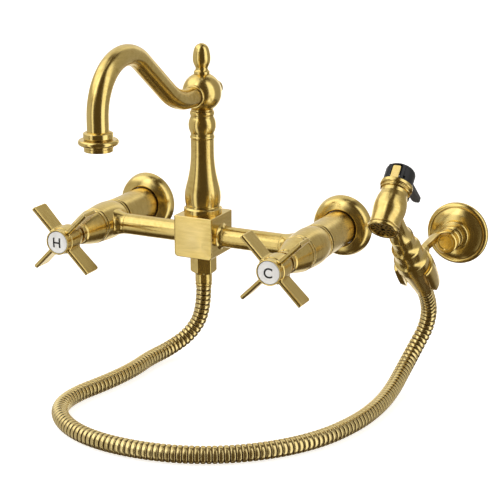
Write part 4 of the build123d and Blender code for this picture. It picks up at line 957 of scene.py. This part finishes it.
aerator = {"thread": 10.5, "radius": 11.3, "top": 6.05, "end": 13.8, "bore": 9.15, "lip": 7.95}
aeratorOutline = outline((aerator["bore"], aerator["top"]), (aerator["thread"], aerator["top"]),
                         (aerator["thread"], tip["end"] + 0.05),
                         (aerator["radius"] - 0.3, tip["end"] + 0.05),
                         (aerator["radius"], tip["end"] + 0.3), (aerator["radius"], aerator["end"]),
                         (aerator["lip"], aerator["end"]), (aerator["lip"], aerator["end"] - 1.2),
                         (aerator["bore"], aerator["end"] - 1.2), soften=0.5)
dressTurned("aerator_housing", aeratorOutline, tipAxes)
print("column and spout:", round(spoutLength, 1), "mm of tube")


# Hose connection under the block

nut = {"flats": 20.4, "top": -18.0, "low": -34.3, "bore": 7.95}
corner = nut["flats"] / 2 / cos(pi / 6)
nutOutline = outline((nut["bore"], nut["top"]), (corner - 1, nut["top"]), (corner, nut["top"] - 0.6),
                     (corner, nut["low"] + 0.6), (corner - 1, nut["low"]), (9.6, nut["low"]),
                     (8.2, -36.2), (6.55, -36.2), (6.55, -33.5), (nut["bore"], -33.5))
dressTurned("hose_nut", nutOutline, centre, 96, acrossFlats=nut["flats"])

ferrule = {"radius": 7.6, "groove": 7.25, "top": -36.3, "end": -47.0, "bore": 4.0}
ferruleOutline = outline((ferrule["bore"], -31.5), (7.8, -31.5), (7.8, -33.5), (6.5, -33.5),
                         (6.5, ferrule["top"]), (ferrule["radius"], ferrule["top"]),
                         (ferrule["radius"], -44), (ferrule["groove"], -44.4), (ferrule["groove"], -45.4),
                         (ferrule["radius"], -45.8), (ferrule["radius"], ferrule["end"]),
                         (ferrule["bore"], ferrule["end"]))
dressTurned("hose_ferrule", ferruleOutline, centre)


# Side sprayer: the handle leans out from the wall, and the barrel stands square to it

lean = radians(45.0)
grip = axesAt((203.0, -64.0, -29.7), (1, 0, 0), (0, -sin(lean), cos(lean)))
barrelAxes = axesAt(within(grip, 0, 0, 133.2), (1, 0, 0), (0, cos(lean), sin(lean)))

cone = {"foot": 5.0, "top": 47.2, "footRadius": 7.6, "topRadius": 12.9, "bore": 4.5, "link": 7.55,
        "linkFloor": 35.2}
coneOutline = outline((cone["bore"], cone["foot"]), (cone["footRadius"], cone["foot"]),
                      (cone["footRadius"] + 0.2, cone["foot"] + 3),
                      (cone["topRadius"], cone["top"] - 2.2), (cone["topRadius"], cone["top"]),
                      (cone["link"], cone["top"]), (cone["link"], cone["linkFloor"]),
                      (cone["bore"], cone["linkFloor"]))
dressTurned("sprayer_cone", coneOutline, grip)

handle = {"start": 35.7, "shoulder": 47.2, "grip": 14.0, "gripEnd": 58.5, "waist": 11.4, "bulge": 12.0,
          "end": 85.0, "endRadius": 8.8, "link": 7.5, "neck": 6.4, "bore": 5.0}
handleOutline = outline((handle["bore"], handle["start"]), (handle["link"], handle["start"]),
                        (handle["link"], handle["shoulder"]), (handle["grip"] - 0.8, handle["shoulder"]),
                        (handle["grip"], handle["shoulder"] + 1), (handle["grip"], handle["gripEnd"] - 1),
                        (handle["grip"] - 0.6, handle["gripEnd"]),
                        ((12.1, 61.0), (handle["waist"], 64.5)), (handle["waist"], 66.0),
                        (handle["bulge"], 67.2), (handle["bulge"], 74.2), (handle["bulge"] - 0.5, 75.4),
                        ((9.7, 78.3), (handle["endRadius"], 82.6)), (handle["endRadius"], handle["end"]),
                        (handle["neck"], handle["end"]), (handle["neck"], handle["end"] + 7),
                        (handle["bore"], handle["end"] + 7), soften=0.5)
dressTurned("sprayer_handle", handleOutline, grip)

neck = {"start": 85.05, "collar": 9.6, "collarEnd": 92.55, "radius": 7.0, "flare": 2.0, "meets": 120.5,
        "bore": 6.45}
barrel = {"front": -15.5, "frontRadius": 11.7, "radius": 12.8, "back": 16.0, "backRadius": 10.8,
          "room": 8.0, "seat": 4.2, "faceBore": 10.75, "waterBore": 9.0}


def neckOutline(n):
    # a collar on the handle, a waisted neck, and a flare where it meets the barrel
    foot, mid = n["radius"] + n["flare"], n["flare"] * (1 - cos(pi / 4))
    return outline((0, n["collarEnd"] + 0.5), (n["bore"], n["collarEnd"] + 0.5), (n["bore"], n["start"]),
                   (n["collar"], n["start"]), (n["collar"], n["collarEnd"]),
                   (n["collar"] - 0.5, n["collarEnd"]),
                   ((n["radius"] + 0.9, n["collarEnd"] + 4), (n["radius"], n["collarEnd"] + 10)),
                   (n["radius"], n["meets"] - n["flare"]),
                   ((n["radius"] + mid, n["meets"] - mid), (foot, n["meets"])), (foot, n["meets"] + 2),
                   (0, n["meets"] + 2), closed=False, step=2.0)


def barrelOutline(b):
    # a smooth barrel, widest in the middle, over the valve room, its seat and the water way
    return outline((b["frontRadius"], b["front"]), [(12.0, -8), (b["radius"], 0.5), (12.1, 8)],
                   (b["backRadius"], 12.6), (b["backRadius"], b["back"]), (b["room"], b["back"]),
                   (b["room"], -1), (b["seat"], -1), (b["seat"], -3), (b["waterBore"], -3),
                   (b["waterBore"], -10.4), (b["faceBore"], -10.4), (b["faceBore"], b["front"]))


neckSaddle = {"across": "x", "radius": barrel["radius"], "level": neck["meets"], "crown": 0.0115,
              "reach": 8.0, "sign": -1}
dress("sprayer_head",
      [turned(neckOutline(neck), grip, saddle=neckSaddle), turned(barrelOutline(barrel), barrelAxes)],
      satinBrass)

faceRing = {"front": -19.5, "radius": 12.2, "back": -15.55, "bore": 9.7, "spigot": 10.7, "end": -10.6}
faceRingOutline = outline((faceRing["bore"], faceRing["front"]),
                          (faceRing["radius"] - 0.8, faceRing["front"]),
                          (faceRing["radius"], faceRing["front"] + 0.8), (faceRing["radius"], -17.3),
                          (11.6, -16.9), (11.6, -16.4), (faceRing["radius"], -16.1),
                          (faceRing["radius"], faceRing["back"]), (faceRing["spigot"], faceRing["back"]),
                          (faceRing["spigot"], faceRing["end"]), (faceRing["bore"], faceRing["end"]))
dressTurned("face_ring", faceRingOutline, barrelAxes)


def piercedMaterial(axes, f):
    # brass plate with painted shade in its slots: a point is darkened by its depth along the barrel's axis,
    # and round each slot by its distance from the slot's ring and the arc from the slot's own turn, both in
    # millimetres
    material, tree, shader = newMaterial("piercedBrass")
    place = addNode(tree, "ShaderNodeTexCoord")["Object"]
    local = vectorMaths(tree, "SUBTRACT", place, tuple(axes["origin"] * mm))
    across, up, along = (vectorMaths(tree, "DOT_PRODUCT", local, tuple(axes[key] / mm), output="Value")
                         for key in ("x", "y", "z"))
    dark = addNode(tree, "ShaderNodeMapRange",
                   {"Value": along, "From Min": f["front"], "From Max": f["floor"]})["Result"]
    radius = maths(tree, "SQRT",
                   maths(tree, "ADD", maths(tree, "MULTIPLY", across, across),
                         maths(tree, "MULTIPLY", up, up)))
    turn = maths(tree, "ARCTAN2", up, across)
    for ring, count in f["rings"]:
        share = maths(tree, "PINGPONG", maths(tree, "MULTIPLY", turn, count / (2 * pi)), 0.5)
        arc = maths(tree, "MULTIPLY", share, 2 * pi * ring / count)
        away = maths(tree, "ABSOLUTE", maths(tree, "SUBTRACT", radius, ring))
        inside = 1.0
        for value, half in ((arc, f["slotWidth"] / 2), (away, f["slotLength"] / 2)):
            edge = addNode(tree, "ShaderNodeMapRange",
                           {"Value": value, "From Min": half - 0.1, "From Max": half + 0.15,
                            "To Min": 1.0, "To Max": 0.0})["Result"]
            inside = maths(tree, "MULTIPLY", inside, edge)
        dark = maths(tree, "MAXIMUM", dark, inside)
    tone = useGroup(tree, clouds, {"Vector": place, "Size": f["patch"]})["Tone"]
    colour = mixColour(tree, tone, (*brass["castBrass"]["light"], 1), (*brass["castBrass"]["deep"], 1))
    colour = mixColour(tree, dark, colour, (*f["dark"], 1))
    tree.links.new(colour, shader.inputs["Base Color"])
    tree.links.new(scaled(tree, tone, f["smooth"], f["rough"]), shader.inputs["Roughness"])
    shader.inputs["Metallic"].default_value = 1.0
    return material


face = {"front": -18.45, "floor": -18.0, "rings": ((4.6, 8), (7.7, 14)), "slotWidth": 1.3,
        "slotLength": 2.2, "dark": (0.012, 0.006, 0.003), "patch": 6.0, "smooth": 0.28, "rough": 0.38}
frame["nodes"]["spray_face"].data.materials[0] = piercedMaterial(barrelAxes, face)

collar = {"radius": 12.9, "start": 16.05, "top": 22.0, "recess": 18.4, "recessRadius": 12.2,
          "spigot": 7.95, "hole": 2.68}
collarOutline = outline((collar["hole"], 9), (collar["spigot"], 9), (collar["spigot"], collar["start"]),
                        (11.6, collar["start"]), (12.0, 16.5), (12.0, 17.0), ((11.5, 17.8), (12.5, 19.0)),
                        (collar["radius"], 19.5), (collar["radius"], collar["top"]),
                        (collar["recessRadius"], collar["top"]),
                        (collar["recessRadius"], collar["recess"]), (collar["hole"], collar["recess"]))
tongue = {"width": 6.6, "depth": 3.4, "low": 18.0, "high": 33.5, "topCorner": 1.4, "bottomCorner": 0.5,
          "endCorner": 0.4, "towardsFront": -9.6}
dress("sprayer_collar",
      [turned(collarOutline, barrelAxes),
       roundedBlock(tongue, {**barrelAxes, "origin": within(barrelAxes, 0, tongue["towardsFront"], 0)})],
      satinBrass)
print("sprayer")


# Sprayer bracket on the wall

bracket = axesAt((210.0, 0, 6.4), (1, 0, 0), (0, -1, 0))
rosette = {"radius": 27.4, "inner": 25.9, "top": 8.2, "hole": 7.05}
rosetteOutline = outline(
    (rosette["inner"], 0), (rosette["radius"], 0), (rosette["radius"], 1.4), ((26.4, 3.6), (24.2, 4.4)),
    (23.4, 3.9), (22.6, 4.2), [(18.6, 6.8), (13.4, rosette["top"])], (rosette["hole"], rosette["top"]),
    (rosette["hole"], 6.6), (13.0, 6.6), [(18.0, 5.2), (22.4, 2.6)], (rosette["inner"], 1.8), soften=0.3)
dressTurned("bracket_rosette", rosetteOutline, bracket, 120)

post = {"stud": 4.0, "ring": 13.0, "base": 8.2, "middle": 10.3, "shoulder": 23.0, "spindle": 5.9,
        "end": 33.0, "thread": 3.05, "threadFloor": 24.2}
postOutline = outline(
    (0, 0.5), (post["stud"], 0.5), (post["stud"], 6.05), (6.8, 6.05), (6.8, post["base"]),
    (post["ring"] - 0.6, post["base"]), ((post["ring"], 10.4), (post["ring"] - 0.8, 12.6)), (9.2, 13.2),
    (8.8, 14.4), (post["middle"] - 0.4, 15.0), ((post["middle"], 17.2), (post["middle"] - 0.4, 19.4)),
    (8.7, 20.1), (8.7, 22.4), (9.2, post["shoulder"]), (post["spindle"], post["shoulder"]),
    (post["spindle"], post["end"]), (post["thread"], post["end"]), (post["thread"], post["threadFloor"]),
    (0, post["threadFloor"]), closed=False)
dressTurned("bracket_post", postOutline, bracket)

cap = {"radius": 8.0, "thread": 3.0, "threadFoot": 24.7, "seat": 33.7, "front": 35.5}
capOutline = outline((0, cap["threadFoot"]), (cap["thread"], cap["threadFoot"]),
                     (cap["thread"], cap["seat"]), (cap["radius"], cap["seat"]),
                     (cap["radius"], cap["front"]), (cap["radius"] - 1.6, cap["front"]),
                     (cap["radius"] - 2.2, cap["front"] - 0.5), (0, cap["front"] - 0.5), closed=False)
dressTurned("cradle_cap", capOutline, bracket)
print("bracket")


# Floor and light

studio = {
    "floorHeight": -113.2,
    "floorRadius": 12000.0,
    "floorColour": (0.9, 0.9, 0.9),
    "floorRoughness": 0.9,
    "floorGlow": 0.75,
    "ambient": 0.085,
    "ambientColour": (1.0, 0.72, 0.36),     # what the dark sides mirror is brass brown
    "softboxes": [      # azimuth and half width, elevation from and to, soft edges, strength
        {"azimuth": -24, "half": 5, "soft": 8, "low": -50, "high": 60, "strength": 1.05},
        {"azimuth": -84, "half": 38, "soft": 9, "low": -38, "high": 60, "strength": 0.46},
        {"azimuth": 87, "half": 13, "soft": 9, "low": -55, "high": 60, "strength": 1.3},
        {"azimuth": 140, "half": 36, "soft": 12, "low": -25, "high": 50, "strength": 0.28},
        {"azimuth": -157, "half": 28, "soft": 12, "low": -8, "high": 60, "strength": 0.70},
        {"azimuth": -157, "half": 22, "soft": 12, "low": -45, "high": -8, "strength": 0.95},
        {"azimuth": -57, "half": 45, "soft": 20, "low": 30, "high": 75, "strength": 0.92},
        {"azimuth": 0, "half": 170, "soft": 10, "low": -90, "high": -42, "strength": 0.58},
        {"azimuth": 0, "half": 170, "soft": 10, "low": 56, "high": 90, "strength": 1.0},
    ],
    "endSoft": 8.0,
}


def makeFloor(s):
    # a wide disc: 64 points on a circle, joined as one face
    turn = np.linspace(0, 2 * pi, 65)[:-1]
    ring = np.c_[np.cos(turn), np.sin(turn), np.zeros(64)] * s["floorRadius"] + (0, 0, s["floorHeight"])
    mesh = bpy.data.meshes.new("floor")
    mesh.from_pydata((ring * mm).tolist(), [], [list(range(64))])
    floor = placed("floor", mesh)
    material, tree, shader = newMaterial("paperFloor")
    shader.inputs["Base Color"].default_value = (*s["floorColour"], 1)
    shader.inputs["Roughness"].default_value = s["floorRoughness"]
    shader.inputs["Emission Color"].default_value = (1, 1, 1, 1)
    shader.inputs["Emission Strength"].default_value = s["floorGlow"]
    mesh.materials.append(material)
    floor.visible_glossy = False        # the metal mirrors the studio round it


def makeStudio(s):
    # light by direction: each softbox is a soft-edged patch of azimuth and elevation over a dim warm
    # room; the camera itself sees plain white
    world = bpy.data.worlds.new("studio")
    bpy.context.scene.world = world
    world.use_nodes = True
    tree = world.node_tree
    direction = addNode(tree, "ShaderNodeTexCoord")["Generated"]
    height = addNode(tree, "ShaderNodeSeparateXYZ", {"Vector": direction})["Z"]
    level = vectorMaths(tree, "MULTIPLY", direction, (1, 1, 0))
    level = vectorMaths(tree, "NORMALIZE", level)

    def ramp(value, low, high, top=1.0):
        return addNode(tree, "ShaderNodeMapRange",
                       {"Value": value, "From Min": low, "From Max": high, "To Max": top},
                       interpolation_type="SMOOTHSTEP")["Result"]

    total = 0.0
    for box in s["softboxes"]:
        az, soft = radians(box["azimuth"]), s["endSoft"]
        facing = vectorMaths(tree, "DOT_PRODUCT", level, (sin(az), -cos(az), 0), output="Value")
        light = ramp(facing, cos(radians(box["half"] + box["soft"])), cos(radians(box["half"])),
                     box["strength"])
        for side, end in ((-1, box["low"]), (1, box["high"])):
            inside = ramp(height, sin(radians(end + side * soft)), sin(radians(end)))
            light = maths(tree, "MULTIPLY", light, inside)
        total = maths(tree, "ADD", total, light)
    background = tree.nodes["Background"]
    tree.links.new(total, background.inputs["Strength"])
    background.inputs["Color"].default_value = (1, 1, 1, 1)
    around = addNode(tree, "ShaderNodeBackground",
                     {"Color": (*s["ambientColour"], 1), "Strength": s["ambient"]})[0]
    lit = addNode(tree, "ShaderNodeAddShader", {0: background.outputs[0], 1: around})[0]
    plain = addNode(tree, "ShaderNodeBackground", {"Color": (1, 1, 1, 1), "Strength": 1.0})[0]
    seen = addNode(tree, "ShaderNodeLightPath")["Is Camera Ray"]
    mixed = addNode(tree, "ShaderNodeMixShader", {0: seen, 1: lit, 2: plain})[0]
    tree.links.new(mixed, tree.nodes["World Output"].inputs["Surface"])
    bpy.context.scene.view_settings.view_transform = "Standard"


makeFloor(studio)
makeStudio(studio)

print("done")
